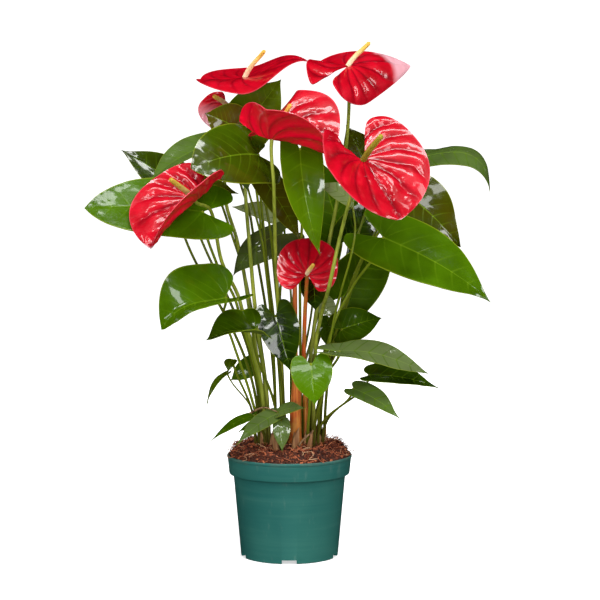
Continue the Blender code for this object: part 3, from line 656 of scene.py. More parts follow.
# %% Stalks
def add_tube(shape, path, radii, sides, **reads):
    """A tube with closed ends; its points know how far along they are, from 0 to 1."""
    way = (path[1] - path[0]).normalized()
    across = Vector((1, 0, 0)) - way * way.x
    points, faces, along = [], [], []
    for index, centre in enumerate(path):
        ahead = path[min(index + 1, len(path) - 1)] - path[max(index - 1, 0)]
        across.rotate(way.rotation_difference(ahead))
        way = ahead.normalized()
        across = (across - way * across.dot(way)).normalized()
        aside = way.cross(across)
        for side in range(sides):
            angle = 2 * math.pi * side / sides
            points.append(centre + (across * math.cos(angle) + aside * math.sin(angle)) * radii[index])
            along.append(index / (len(path) - 1))
    for ring in range(len(path) - 1):
        for side in range(sides):
            near, far = ring * sides + side, ring * sides + (side + 1) % sides
            faces.append((near, far, far + sides, near + sides))
    faces.append(tuple(reversed(range(sides))))
    faces.append(tuple(range(len(points) - sides, len(points))))
    shape.add(points, faces, along=along, **reads)


STEM_SEAT = 92.0  # how deep in the pot a stem starts
STEM_FREE = 124.0  # it stands upright to here, clear of the mix
FOOT_SHARE = 0.27  # how near to the middle a foot stands, as a share of its blade's distance
FOOT_SPACING = 6.2
FOOT_GAP = 2.6
CLUMP_RADIUS = 38.0
STEMS = []


class Stem:
    """One stem from the mix to a junction. A route is a list of places it passes on the way."""

    def __init__(self, top, way, radius, route=(), foot=None):
        self.top = Vector(top)
        self.way = Vector(way).normalized()
        self.radius = radius
        self.route = [Vector(place) for place in route]
        aim = Vector(foot) if foot else Vector((self.top.x, self.top.y)) * FOOT_SHARE
        if aim.length > CLUMP_RADIUS:
            aim = aim.normalized() * CLUMP_RADIUS
        self.foot = aim
        self.grows_on = None
        STEMS.append(self)

    def path(self, steps, past=0.0):
        foot = self.grows_on.foot if self.grows_on else self.foot
        lift = 10 if self.grows_on else 0
        path = [Vector((foot.x, foot.y, STEM_FREE if self.grows_on else STEM_SEAT))]
        free = Vector((foot.x, foot.y, STEM_FREE + lift))
        path += hermite_path([free] + self.route + [self.top], (0, 0, 1), self.way, steps)
        if past:
            path.append(self.top + self.way * past)
        return path

    def add_to(self, shape, steps=34, past=0.0, sides=12, knee=0.0, **reads):
        """Adds the stalk; a knee is how much thicker it swells just under the blade."""
        path = self.path(steps, past)
        radii = []
        for index in range(len(path)):
            share = index / (len(path) - 1)
            to_top = (self.top - path[index]).length
            swell = 1 + knee * math.exp(-((to_top / 7.0) ** 2)) + 0.35 * math.exp(-((share / 0.05) ** 2))
            radii.append(self.radius * (1 - 0.22 * share) * swell)
        if past:
            radii[-1] *= 0.5
        add_tube(shape, path, radii, sides, **reads)


def spread_feet(rounds=400):
    """Pushes the feet apart until none stands closer to another than the spacing."""
    for _ in range(rounds):
        for index, one in enumerate(STEMS):
            for other in STEMS[index + 1:]:
                apart = other.foot - one.foot
                short = max(FOOT_SPACING, one.radius + other.radius + FOOT_GAP) - apart.length
                if short > 0:
                    push = (apart.normalized() if apart.length else Vector((1, 0))) * short * 0.5
                    one.foot = one.foot - push
                    other.foot = other.foot + push
        for one in STEMS:
            if one.foot.length > CLUMP_RADIUS:
                one.foot = one.foot.normalized() * CLUMP_RADIUS


print("stems rise straight up to", STEM_FREE, "mm")

# %% [markdown]
# Each leaf is noted by where its stalk meets the blade, where its tip is, which way it faces and how wide
# it is. Its look is noted separately: how bright it is, partly its own green and partly painted shade on
# leaves deep in the clump and a painted highlight on the hanging leaf; how olive, which is a painted
# reflection of the red spathes with painted shade; and how pale, partly a paler leaf and partly a painted
# sheen.

# %% The leaves
FINE_GRID = (52, 17)  # rows along a blade and columns across each side of it
USUAL_GRID = (40, 12)
SMALL_GRID = (28, 8)
SMALL_WIDTH = 30


class Leaf:
    """A blade and its stalk, grown as one."""

    def __init__(self, junction, tip, normal, width, outline=LEAF, form=None, stalk=1.6, way=None, route=(),
                 foot=None, fine=False):
        self.blade = (junction, tip, normal, width, outline, form or Form())
        small = width <= SMALL_WIDTH
        self.rows, self.columns = FINE_GRID if fine else SMALL_GRID if small else USUAL_GRID
        self.veins = (4.5, 2.0) if small else (6.5, 3.0)
        lean = Vector(normal).normalized() * 0.6 + Vector((0, 0, 1))
        self.stem = Stem(junction, way or lean, stalk, route, foot)


LEAVES = {
    "leaf_left_high": Leaf((-86, -70, 361), (-203, -80, 365), (0.0, -0.75, 0.66), 76, fine=True,
        stalk=1.7, outline=BLUNT_LEAF, form=Form(fold=(6, 6), curl=(-6, -6), arch=5), foot=(-26, -12),
        route=[(-54, -22, 265), (-73, -34, 305)]),
    "leaf_left_hidden": Leaf((-116, -18, 381), (-51, -30, 378), (0.0, -0.4, 0.9), 50,
        form=Form(fold=(10, 10), arch=4)),
    "leaf_left_far": Leaf((-108, 28, 380), (-176, 34, 421), (-0.35, -0.75, 0.6), 46,
        form=Form(fold=(16, 16), arch=3)),
    "leaf_left_arching": Leaf((-85, 0, 426), (-142, -20, 390), (-0.4, -0.55, 0.75), 44,
        form=Form(fold=(18, 18), arch=5), foot=(-24, 8),
        route=[(-44, 12, 280), (-64, 24, 345), (-80, 14, 395)]),
    "leaf_top_left": Leaf((-31, -41, 417), (-97, -85, 404), (0.36, -0.7, 0.6), 76, fine=True,
        outline=BLUNT_LEAF, form=Form(fold=(10, 10), curl=(-14, -14), lobes=(-25, -25), arch=9),
        route=[(-25, -21, 330), (-31, -20, 395)]),
    "leaf_top_back_left": Leaf((-55, -8, 445), (-86, -14, 459), (-0.3, -0.9, 0.3), 44,
        form=Form(fold=(8, 8), arch=4), way=(0.05, -0.3, 1), foot=(-14, 10),
        route=[(-40, 14, 350), (-54, 11, 400)]),
    "leaf_top_back": Leaf((-45, 4, 445), (-8, -3, 494), (0.2, -0.9, 0.4), 56, fine=True,
        form=Form(fold=(10, 10), arch=5), way=(0.05, -0.3, 1), foot=(-8, 8),
        route=[(-30, 19, 345), (-38, 12, 405)]),
    "leaf_hanging": Leaf((11, -58, 423), (31, -98, 319), (0.2, -0.95, 0.3), 46, fine=True,
        form=Form(fold=(20, 20), arch=8, sway=-6), foot=(12, -17),
        route=[(11, -18, 300), (13, -24, 350)]),
    "leaf_mid_olive": Leaf((-25, -33, 392), (11, -39, 331), (0.3, -0.9, 0.2), 32,
        form=Form(fold=(14, 14), arch=4), route=[(-18, -26, 330)]),
    "leaf_small_hanging": Leaf((-46, -42, 407), (-41, -58, 380), (-0.1, -0.95, 0.1), 22,
        outline=NARROW_LEAF, form=Form(fold=(12, 12), arch=3), stalk=1.4, route=[(-26, -34, 320)]),
    "leaf_pale": Leaf((-6, 40, 348), (-61, 50, 361), (-0.1, -0.5, 0.85), 36,
        form=Form(fold=(14, 14), arch=3), stalk=1.4, foot=(2, 12), route=[(2, 26, 260)]),
    "leaf_arching": Leaf((-8, 4, 335), (-58, -6, 292), (-0.35, -0.85, 0.4), 44,
        form=Form(fold=(-10, -10), curl=(-20, -20), arch=14), foot=(-6, 4), route=[(-10, 4, 260)]),
    "leaf_low_left": Leaf((-63, -72, 275), (-126, -102, 246), (-0.2, -0.66, 0.72), 86, fine=True,
        outline=BLUNT_LEAF, form=Form(fold=(35, 38), curl=(0, -10), arch=13, skew=0.6),
        route=[(-38, -26, 165), (-57, -40, 226), (-66, -52, 256)], foot=(-31, -20)),
    "leaf_low_front": Leaf((-36, -80, 242), (-82, -98, 235), (-0.05, -0.4, 0.9), 62, fine=True,
        form=Form(fold=(30, 20), lobes=(-20, 40), arch=5)),
    "leaf_dark_centre": Leaf((-14, -42, 254), (2, -62, 199), (0.05, -0.93, 0.3), 42,
        form=Form(fold=(10, 10), arch=4), foot=(-3, -28)),
    "leaf_heart": Leaf((22, -72, 208), (26, -88, 169), (0.0, -0.92, 0.38), 42, fine=True,
        form=Form(fold=(8, 8), curl=(-10, -10), arch=3), foot=(19, -33), route=[(21, -43, 165)]),
    "leaf_right_small": Leaf((54, -10, 237), (96, 0, 248), (-0.1, -0.85, 0.5), 40,
        form=Form(fold=(12, 12), arch=3), stalk=1.4),
    "leaf_behind_stems": Leaf((46, 20, 241), (46, 15, 210), (0.0, -0.95, 0.2), 32,
        form=Form(fold=(10, 10), arch=3), stalk=1.4),
    "leaf_long_right": Leaf((51, -62, 220), (141, -70, 198), (0.1, -0.3, 0.95), 38, fine=True,
        form=Form(fold=(10, 10), arch=9, twist=40), route=[(33, -40, 169), (40, -50, 197)],
        foot=(25, -29)),
    "leaf_low_right": Leaf((81, -45, 194), (152, -60, 182), (0.1, -0.5, 0.85), 36, outline=NARROW_LEAF,
        form=Form(fold=(16, 16), arch=5), stalk=1.3, foot=(34, -15)),
    "leaf_low_right_front": Leaf((65, -52, 181), (112, -78, 153), (0.3, -0.7, 0.65), 28,
        outline=NARROW_LEAF, form=Form(fold=(14, 14), arch=5), stalk=1.3, foot=(30, -24)),
    "leaf_right_big": Leaf((95, -50, 334), (201, -78, 271), (0.3, -0.75, 0.6), 80, fine=True, stalk=1.7,
        form=Form(fold=(8, 8), curl=(-10, -10), arch=9, skew=0.2), route=[(44, -28, 240), (66, -30, 285)],
        foot=(26, -12)),
    "leaf_right_olive": Leaf((119, 8, 378), (178, 12, 321), (0.3, -0.9, 0.3), 64, fine=True,
        form=Form(fold=(8, 8), arch=6, wave=2), route=[(60, 16, 270), (95, 22, 345)]),
    "leaf_right_arching": Leaf((145, 38, 415), (209, 24, 378), (0.45, -0.6, 0.65), 46,
        form=Form(fold=(-8, -8), curl=(-10, -10), arch=27, skew=0.3),
        route=[(70, 34, 290), (118, 50, 370)]),
    "leaf_right_round": Leaf((56, 46, 266), (111, 62, 332), (0.3, -0.9, 0.2), 60,
        form=Form(fold=(8, 8), arch=5), foot=(26, 6), route=[(44, 24, 200)]),
    "leaf_dark_back": Leaf((64, 86, 324), (103, 100, 369), (0.1, -0.9, 0.4), 46,
        form=Form(fold=(10, 10), arch=4), foot=(12, 30), route=[(34, 62, 230)]),
    "leaf_green_back": Leaf((56, 104, 323), (30, 112, 412), (0.0, -0.95, 0.2), 60,
        form=Form(fold=(10, 10), arch=4), foot=(6, 33), route=[(26, 64, 230)]),
    "leaf_tip_back": Leaf((88, 80, 394), (60, 95, 447), (-0.1, -0.9, 0.4), 44,
        form=Form(fold=(10, 10), arch=4), foot=(22, 22), route=[(46, 50, 240), (70, 74, 320)]),
    "leaf_pale_side": Leaf((64, -55, 371), (28, -45, 389), (0.1, -0.7, 0.7), 26, outline=NARROW_LEAF,
        form=Form(fold=(12, 12), arch=3), stalk=1.3, foot=(30, -13),
        route=[(44, -42, 243), (53, -64, 284), (61, -76, 314), (66, -74, 342)]),
    "leaf_under_bloom": Leaf((25, -20, 286), (27, -28, 258), (0.0, -0.92, 0.35), 28,
        form=Form(fold=(8, 8), arch=3), stalk=1.4),
    "leaf_pale_small": Leaf((30, 24, 265), (51, 10, 245), (0.1, -0.9, 0.4), 22, outline=NARROW_LEAF,
        form=Form(fold=(10, 10), arch=2), stalk=1.3, route=[(24, 19, 220)]),
    "leaf_back": Leaf((6, 88, 300), (16, 150, 288), (0.1, 0.45, 0.85), 50,
        form=Form(fold=(10, 10), curl=(-10, -10), arch=6), route=[(2, 44, 220)]),
}

SHOOTS = {
    "shoot_left": [
        Leaf((-58, -40, 209), (-62, -48, 197), (-0.3, -0.9, 0.2), 13, outline=NARROW_LEAF,
             form=Form(fold=(30, 30), arch=3), stalk=1.4, foot=(-35, -15)),
        Leaf((-63, -44, 196), (-83, -58, 165), (-0.6, -0.6, 0.4), 9, outline=NARROW_LEAF,
             form=Form(fold=(20, 20), arch=6)),
    ],
    "shoot_left_back": [
        Leaf((-36, 26, 197), (-62, 30, 179), (-0.2, -0.9, 0.4), 24,
             form=Form(fold=(12, 12), arch=3), stalk=1.4, foot=(-28, 20)),
        Leaf((-30, 24, 136), (-54, 30, 124), (-0.2, -0.6, 0.8), 13, outline=NARROW_LEAF,
             form=Form(fold=(12, 12), arch=2)),
    ],
    "shoot_low_left": [
        Leaf((-36, -34, 151), (-80, -56, 127), (-0.3, -0.6, 0.8), 14, outline=NARROW_LEAF,
             form=Form(fold=(12, 12), arch=5), stalk=1.4, foot=(-28, -30)),
    ],
    "shoot_low_front": [
        Leaf((-12, -42, 154), (-54, -66, 125), (-0.3, -0.7, 0.6), 22, outline=NARROW_LEAF,
             form=Form(fold=(10, 10), arch=5), stalk=1.7, foot=(-9, -36)),
        Leaf((-8, -48, 148), (-7, -62, 117), (0.0, -0.9, 0.3), 18, outline=NARROW_LEAF,
             form=Form(fold=(10, 10), arch=3)),
        Leaf((-11, -46, 156), (17, -64, 163), (0.0, -0.7, 0.7), 18, outline=NARROW_LEAF,
             form=Form(fold=(10, 10), arch=3)),
    ],
}

# A young stalk that rises from a thick sheath in the middle of the clump
SHEATH = Stem((9, -29, 196), (0.1, -0.03, 1), 6.2, foot=(7, -27))
SHEATHED = Stem((5, -30, 304), (-0.05, 0, 1), 2.9, route=[(6, -30, 240)])

print("leaves:", len(LEAVES), "shoots:", len(SHOOTS))

# %% [markdown]
# A bloom is a spathe, the stalk under it and the spadix that stands on it.

# %% The blooms
class Bloom:
    """A flower stalk, the spathe on it and the spadix that stands on the spathe."""

    def __init__(self, junction, tip, normal, width, spadix, form=None, outline=SPATHE, stalk=2.2, route=(),
                 foot=None, thick=2.6):
        form = form or Form()
        self.blade = (junction, tip, normal, width, outline, form)
        self.thick = thick
        line = Vector(tip) - Vector(junction)
        ahead = line.normalized()
        up = Vector(normal)
        up = (up - ahead * up.dot(ahead)).normalized()
        slope = (form.arch_at(0.1) - form.arch_at(-0.1)) / (0.2 * line.length)
        self.up = (up - ahead * slope).normalized()
        self.seat = Vector(junction)
        self.spadix_end = Vector(spadix)
        self.stem = Stem(self.seat - self.up * 0.4, self.up, stalk, route, foot)


BLOOMS = {
    "top_left": Bloom((-46, 20, 496), (19, 12, 513), (-0.25, -0.2, 0.95), 92, (-26, 0, 522),
        outline=BROAD_SPATHE,
        form=Form(fold=(2, 8), curl=(0, -36), lobes=(6, 14), arch=4, skew=1.6, droop=(-3, -7)),
        foot=(-22, -16), route=[(-36, -20, 270), (-41, -22, 330), (-45, -2, 375), (-46, 16, 430)]),
    "top_right": Bloom((60, -5, 507), (127, 50, 509), (0.0, -0.2, 0.95), 96, (81, -5, 530),
        outline=POINTED_SPATHE,
        form=Form(fold=(0, -24), curl=(-8, -64), lobes=(60, 4), arch=5, skew=-0.3, twist=30, droop=(27, 0))),
    "back_left": Bloom((-67, 65, 469), (-80, 55, 442), (-0.6, -0.7, 0.3), 62, (-79, 50, 477),
        form=Form(fold=(10, 10), arch=3), foot=(-28, 0),
        route=[(-44, 3, 275), (-55, 14, 330), (-66, 23, 366), (-68, 48, 420)]),
    "centre": Bloom((-17, -74, 433), (42, -94, 417), (0.5, -0.1, 0.86), 108, (1, -84, 466),
        outline=FULL_SPATHE,
        form=Form(fold=(64, 44), curl=(-10, -15), lobes=(-60, 30), arch=3, spread=(1.25, 0.92)),
        foot=(-8, -20), route=[(-11, -28, 255), (-14, -50, 325), (-15, -73, 388)]),
    "right": Bloom((73, -100, 413), (109, -131, 356), (0.1, -0.85, 0.5), 116, (89, -128, 436),
        outline=LONG_SPATHE, form=Form(fold=(4, 28), lobes=(0, 20), arch=3, spread=(1, 0.85)),
        foot=(25, -20),
        route=[(27, -30, 222), (33, -50, 258), (40, -86, 288), (50, -92, 335), (61, -103, 378)]),
    "left": Bloom((-93, -95, 374), (-136, -120, 328), (-0.45, -0.75, 0.5), 84, (-114, -120, 394),
        outline=FULL_SPATHE, form=Form(fold=(60, 14), arch=3, spread=(1, 1.2)), foot=(-25, -24),
        route=[(-50, -36, 268), (-68, -50, 310), (-78, -68, 362)]),
    "low": Bloom((18, -60, 298), (22, -28, 333), (0.0, -0.75, 0.65), 62, (24, -75, 308),
        form=Form(fold=(20, 20), curl=(-20, -20), arch=3), stalk=2.5, thick=2.2, foot=(16, -25),
        route=[(15, -26, 205), (16, -38, 255)]),
}

# A shoot's other leaves, and the sheathed stalk, grow on a stem that already stands in the mix
for first, *others in SHOOTS.values():
    for leaf in others:
        leaf.stem.grows_on = first.stem
        leaf.stem.radius = 0.7 * first.stem.radius
        STEMS.remove(leaf.stem)
SHEATHED.grows_on = SHEATH
STEMS.remove(SHEATHED)
spread_feet()
print("blooms:", len(BLOOMS), "stems in the mix:", len(STEMS))

# %% [markdown]
# The leaf blades bulge softly between their side veins, and the whole blade wavers a little, as a living
# one does. Both are small, so a blade stays where its solid is.

# %% Grow the leaves
# Tone is partly each leaf's own green and partly painted light: painted shade on leaves deep in the clump, a
# painted highlight on the hanging leaf. Olive is a painted reflection of the red spathes with painted shade.
# Pale is partly a paler leaf and partly a painted sheen.
LEAF_LOOKS = {  # tone from dark to bright, olive, pale
    "leaf_left_high": (0.75, 0.0, 0.0), "leaf_left_hidden": (0.30, 0.7, 0.0),
    "leaf_left_far": (0.25, 0.2, 0.0), "leaf_left_arching": (0.55, 0.0, 0.1),
    "leaf_top_left": (0.35, 0.4, 0.0), "leaf_top_back_left": (0.12, 0.95, 0.0),
    "leaf_top_back": (0.75, 0.5, 0.0), "leaf_hanging": (0.90, 0.2, 0.0), "leaf_mid_olive": (0.30, 0.9, 0.0),
    "leaf_small_hanging": (0.35, 0.0, 0.1), "leaf_pale": (0.55, 0.0, 0.7), "leaf_arching": (0.25, 0.3, 0.1),
    "leaf_low_left": (0.72, 0.0, 0.0), "leaf_low_front": (0.35, 0.2, 0.0),
    "leaf_dark_centre": (0.10, 0.0, 0.0), "leaf_heart": (1.0, 0.0, 0.0),
    "leaf_right_small": (0.35, 0.0, 0.0), "leaf_behind_stems": (0.45, 0.2, 0.0),
    "leaf_long_right": (0.45, 0.0, 0.2), "leaf_low_right": (0.25, 0.0, 0.0),
    "leaf_low_right_front": (0.55, 0.0, 0.1), "leaf_right_big": (0.70, 0.0, 0.0),
    "leaf_right_olive": (0.35, 0.8, 0.0), "leaf_right_arching": (0.45, 0.0, 0.1),
    "leaf_right_round": (0.45, 0.1, 0.0), "leaf_dark_back": (0.10, 0.0, 0.0),
    "leaf_green_back": (0.55, 0.0, 0.0), "leaf_tip_back": (0.25, 0.5, 0.0),
    "leaf_pale_side": (0.60, 0.0, 0.4), "leaf_under_bloom": (0.15, 0.0, 0.0),
    "leaf_pale_small": (0.50, 0.0, 0.5), "leaf_back": (0.50, 0.0, 0.0), "shoot_left": (0.60, 0.4, 0.0),
    "shoot_left_back": (0.70, 0.1, 0.0), "shoot_low_left": (0.50, 0.0, 0.0),
    "shoot_low_front": (0.45, 0.0, 0.15),
}
LEAF_WAX = 0.7
THIN_WAX = {"leaf_heart": 0.2, "leaf_low_front": 0.45, "leaf_left_high": 0.25}
LEAF_THICKNESS = 0.8
LEAF_GROOVE = 0.35


def leaf_relief(number, out, point):
    bulge = 0.30 * abs(math.sin(math.pi * number)) * out * (1 - out ** 4)
    waver = 0.9 * noise.noise(Vector(point) * 0.045) + 0.3 * noise.noise(Vector(point) * 0.13)
    return bulge + waver * min(1.0, 1.5 * out)


def add_leaf(shape, leaf, pale):
    grid = blade_grid(*leaf.blade, leaf.rows, leaf.columns, leaf.veins)
    add_blade(shape, grid, LEAF_THICKNESS, leaf_relief, LEAF_GROOVE, lambda along, out: pale)
    leaf.stem.add_to(shape, past=1.2, knee=0.3, stem=1.0)


def dress(piece, slot, *nodes):
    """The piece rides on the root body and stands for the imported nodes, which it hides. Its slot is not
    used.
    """
    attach(piece, "root")
    if nodes:
        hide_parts(*nodes)


single_leaves = {name: [leaf] for name, leaf in LEAVES.items()}
for name, leaves in {**single_leaves, **SHOOTS}.items():
    tone, olive, pale = LEAF_LOOKS[name]
    shape = Shape()
    for leaf in leaves:
        add_leaf(shape, leaf, pale)
    shape.fill(tone=tone, olive=olive, wax=THIN_WAX.get(name, LEAF_WAX))
    dress(shape.build(name + "_fine", LEAF_FINISH, 50.0), "leaf", name)
print("leaves and shoots grown:", len(LEAF_LOOKS))

# %% [markdown]
# A spathe's ribs are strong: rounded ridges with sharp furrows between them, flat at the stalk and at the
# edge. They are cut into a close grid, about a millimetre and a half apart, because a bump would not bend
# the streaks of light at the edge as real ridges do.

# %% Grow the blooms
SPATHE_THICKNESS = 1.0
SPATHE_GROOVE = 0.3
SPATHE_RIBS = (5.2,)
SPATHE_ROWS = 84
SPATHE_COLUMNS = 28
RIB_HEIGHT = {"top_left": 1.2, "top_right": 2.2, "back_left": 1.4, "centre": 2.3, "right": 2.8, "left": 3.4,
              "low": 1.5}
SPADIX_AGE = {"top_left": 0.0, "top_right": 0.0, "back_left": 0.3, "centre": 0.0, "right": 1.0, "left": 0.7,
              "low": 0.2}
SPADIX_GIRTH = {"right": 1.22, "left": 1.12}
SPADIX_TAPER = 0.22


def rib_relief(height, bloom):
    """How far a point of a spathe stands off: ridges along its ribs, and a slight pucker."""
    length = (Vector(bloom.blade[1]) - bloom.seat).length

    def relief(number, out, point):
        reach = (Vector(point) - bloom.seat).length / length
        wander = 0.3 * noise.noise(Vector(point) * 0.05) + 0.1 * noise.noise(Vector(point) * 0.17)
        ridge = abs(math.sin(math.pi * (number + wander))) ** 0.7 - 0.55
        pucker = 0.35 * noise.noise(Vector(point) * 0.11) + 0.1 * noise.noise(Vector(point) * 0.3)
        return (height * ridge + pucker) * min(1.0, 2.6 * reach) * (1 - out ** 6)
    return relief


def spathe_pale(name):
    """The far spathe's tip has faded to pink, and every tip ends in a small pale point."""
    def pale(along, out):
        fade = 0.0
        if name == "top_right":
            fade = 0.85 * min(1.0, max(0.0, (along - 0.58) / 0.1))
        if name == "back_left":
            fade = 0.7 * min(1.0, max(0.0, (along - 0.1) / 0.7))
        return max(fade, 0.8 if along > 0.985 else 0.0)
    return pale


def spathe(name, bloom):
    shape = Shape()
    grid = blade_grid(*bloom.blade, SPATHE_ROWS, SPATHE_COLUMNS, SPATHE_RIBS)
    ribs = rib_relief(RIB_HEIGHT[name], bloom)
    add_blade(shape, grid, SPATHE_THICKNESS, ribs, SPATHE_GROOVE, spathe_pale(name))
    return shape.build(f"spathe_{name}_fine", SPATHE_FINISH, 60.0)


def flower_stalk(name, bloom):
    shape = Shape()
    bloom.stem.add_to(shape, steps=44, sides=14, knee=0.15, rusty=1.0 if name == "low" else 0.0)
    return shape.build(f"flower_stalk_{name}_fine", STALK_FINISH)


def spadix_core(name, bloom):
    """The smooth rod under the florets, with a rounded tip."""
    base = bloom.seat + bloom.up * 0.3
    rise = (bloom.spadix_end - base).normalized()
    path = hermite_path([base, bloom.spadix_end], bloom.up * 0.35 + rise, rise, 30)
    way = (path[-1] - path[-2]).normalized()
    girth = (bloom.thick - 0.25) * SPADIX_GIRTH.get(name, 1.0)
    radii = [girth * (1 - SPADIX_TAPER * step / (len(path) - 1)) for step in range(len(path))]
    tip_radius = radii[-1]
    for angle in (25, 50, 70, 85):
        path.append(path[-1] + way * tip_radius * 0.3)
        radii.append(tip_radius * math.cos(math.radians(angle)))
    shape = Shape()
    add_tube(shape, path, radii, 18)
    shape.fill(age=SPADIX_AGE[name])
    return shape.build(f"spadix_{name}_core", SPADIX_FINISH, 60.0)


spadix_cores = {}
for name, bloom in BLOOMS.items():
    dress(spathe(name, bloom), "spathe", f"spathe_{name}")
    dress(flower_stalk(name, bloom), "flower_stalk", f"flower_stalk_{name}")
    spadix_cores[name] = spadix_core(name, bloom)
print("spathes:", len(BLOOMS))

# %% [markdown]
# Some hundreds of florets cover each spadix. Geometry Nodes scatters points on the rod, keeps them a floret
# apart, and puts a low dome on each, turned to face out.

# %% Florets on the spadices
class Tree:
    """A Geometry Nodes tree with named inputs."""

    def __init__(self, name, inputs):
        self.tree = bpy.data.node_groups.new(name, "GeometryNodeTree")
        face = self.tree.interface
        face.new_socket("Geometry", in_out="OUTPUT", socket_type="NodeSocketGeometry")
        face.new_socket("Geometry", in_out="INPUT", socket_type="NodeSocketGeometry")
        for label, kind in inputs.items():
            face.new_socket(label, in_out="INPUT", socket_type=kind)
        self.inputs = self.tree.nodes.new("NodeGroupInput").outputs
        self.end = self.tree.nodes.new("NodeGroupOutput").inputs[0]

    def node(self, kind, settings=None, inputs=None, output=0):
        """Any node: its type, its settings and what its sockets hold. An output of None gives them all."""
        made = self.tree.nodes.new(kind)
        for key, value in (settings or {}).items():
            setattr(made, key, value)
        for key, value in (inputs or {}).items():
            for one in value if isinstance(value, list) else [value]:
                if isinstance(one, bpy.types.NodeSocket):
                    self.tree.links.new(one, made.inputs[key])
                else:
                    made.inputs[key].default_value = one
        return made.outputs if output is None else made.outputs[output]

    def finish(self, geometry, material):
        real = self.node("GeometryNodeRealizeInstances", None, {"Geometry": geometry})
        real = self.node("GeometryNodeSetMaterial", None, {"Geometry": real, "Material": material})
        self.tree.links.new(real, self.end)

    def bake(self, obj, name, values):
        """Runs the tree on an object and returns a new object with the result as a plain mesh."""
        modifier = obj.modifiers.new("grow", "NODES")
        modifier.node_group = self.tree
        for item in self.tree.interface.items_tree:
            if item.name in values:
                modifier[item.identifier] = values[item.name]
        graph = bpy.context.evaluated_depsgraph_get()
        mesh = bpy.data.meshes.new_from_object(obj.evaluated_get(graph))
        mesh.name = name
        obj.modifiers.clear()
        bpy.data.objects.remove(obj, do_unlink=True)
        made = bpy.data.objects.new(name, mesh)
        bpy.context.scene.collection.objects.link(made)
        return made


FLORETS = {"Floret Radius": 0.62 * MM, "Floret Spacing": 0.85 * MM}
FLORETS_A_SQUARE_METRE = 4.0e6
FLORET_HEIGHT = 0.75
FLORET_SEED = 7


def floret_tree():
    tree = Tree("florets", dict.fromkeys(FLORETS, "NodeSocketFloat"))
    scatter = tree.node("GeometryNodeDistributePointsOnFaces", {"distribute_method": "POISSON"}, {
        "Mesh": tree.inputs["Geometry"], "Distance Min": tree.inputs["Floret Spacing"],
        "Density Max": FLORETS_A_SQUARE_METRE, "Seed": FLORET_SEED}, output=None)
    ball = {"Radius": tree.inputs["Floret Radius"], "Subdivisions": 1}
    dome = tree.node("GeometryNodeMeshIcoSphere", None, ball)
    dome = tree.node("GeometryNodeSetShadeSmooth", None, {0: dome})
    florets = tree.node("GeometryNodeInstanceOnPoints", None, {
        "Points": scatter["Points"], "Instance": dome, "Rotation": scatter["Rotation"],
        "Scale": (1.0, 1.0, FLORET_HEIGHT)})
    both = tree.node("GeometryNodeJoinGeometry", None, {"Geometry": [tree.inputs["Geometry"], florets]})
    tree.finish(both, SPADIX_FINISH)
    return tree


florets = floret_tree()
for name, core in spadix_cores.items():
    piece = florets.bake(core, f"spadix_{name}_fine", FLORETS)
    dress(piece, "spadix", f"spadix_{name}")
    print(piece.name, "faces:", len(piece.data.polygons))

# %% [markdown]
# The sheathed shoot is a stout cone of papery sheath with a thinner stalk rising out of it.

# %% The sheathed shoot
shape = Shape()
SHEATH.add_to(shape, steps=26, past=3.0, sides=20)
SHEATHED.add_to(shape, steps=40, past=3.0, sides=14)
dress(shape.build("sheathed_shoot_fine", SHEATH_FINISH), "sheath", "sheathed_shoot")
print("sheath and stalk joined")

# %% [markdown]
# The pot is turned from one profile: a flat outer wall, a collar that overhangs it, a rolled rim and a foot
# ring. Spin or Screw would also do it; a plain loop over the angle gives a closed body, which a Boolean
# then cuts for the foot notches and the drain holes.

# %% The pot
POT_HEIGHT = 106.0
RIM_RADIUS = 65.0
COLLAR_HEIGHT = 19.0
COLLAR_FOOT_RADIUS = 62.6
WALL_TOP_RADIUS = 58.3
BASE_RADIUS = 50.5
WALL = 1.6
FLOOR_LIFT = 4.5
FLOOR = 2.0
EDGE_ROUNDING = 1.0
POT_SIDES = 160
NOTCHES = 5
NOTCH_WIDTH = 15.0
NOTCH_HEIGHT = 4.0
DRAIN_RING = 34.0
DRAIN_RADIUS = 4.5


def rounded(profile, radius, steps=4):
    """Rounds each corner of a profile of radius and height."""
    done = [profile[0]]
    for before, corner, after in zip(profile, profile[1:], profile[2:]):
        back, on = Vector(before) - Vector(corner), Vector(after) - Vector(corner)
        start = Vector(corner) + back.normalized() * min(radius, 0.45 * back.length)
        end = Vector(corner) + on.normalized() * min(radius, 0.45 * on.length)
        for step in range(steps + 1):
            t = step / steps
            done.append(tuple(start.lerp(Vector(corner), t).lerp(Vector(corner).lerp(end, t), t)))
    return done + [profile[-1]]


def turned(shape, profile, sides, **reads):
    """A body turned about the Z axis; its profile starts and ends on the axis and runs up the outside."""
    points, faces, rings = [], [], []
    for radius, height in profile:
        around = 1 if radius == 0 else sides
        rings.append(range(len(points), len(points) + around))
        for side in range(around):
            angle = 2 * math.pi * side / sides
            points.append(Vector((radius * math.cos(angle), radius * math.sin(angle), height)))
    for low, high in zip(rings, rings[1:]):
        for side in range(sides):
            after = (side + 1) % sides
            lower = (low[side % len(low)], low[after % len(low)])
            upper = (high[after % len(high)], high[side % len(high)])
            faces.append(tuple(dict.fromkeys(lower + upper)))
    shape.add(points, faces, **reads)


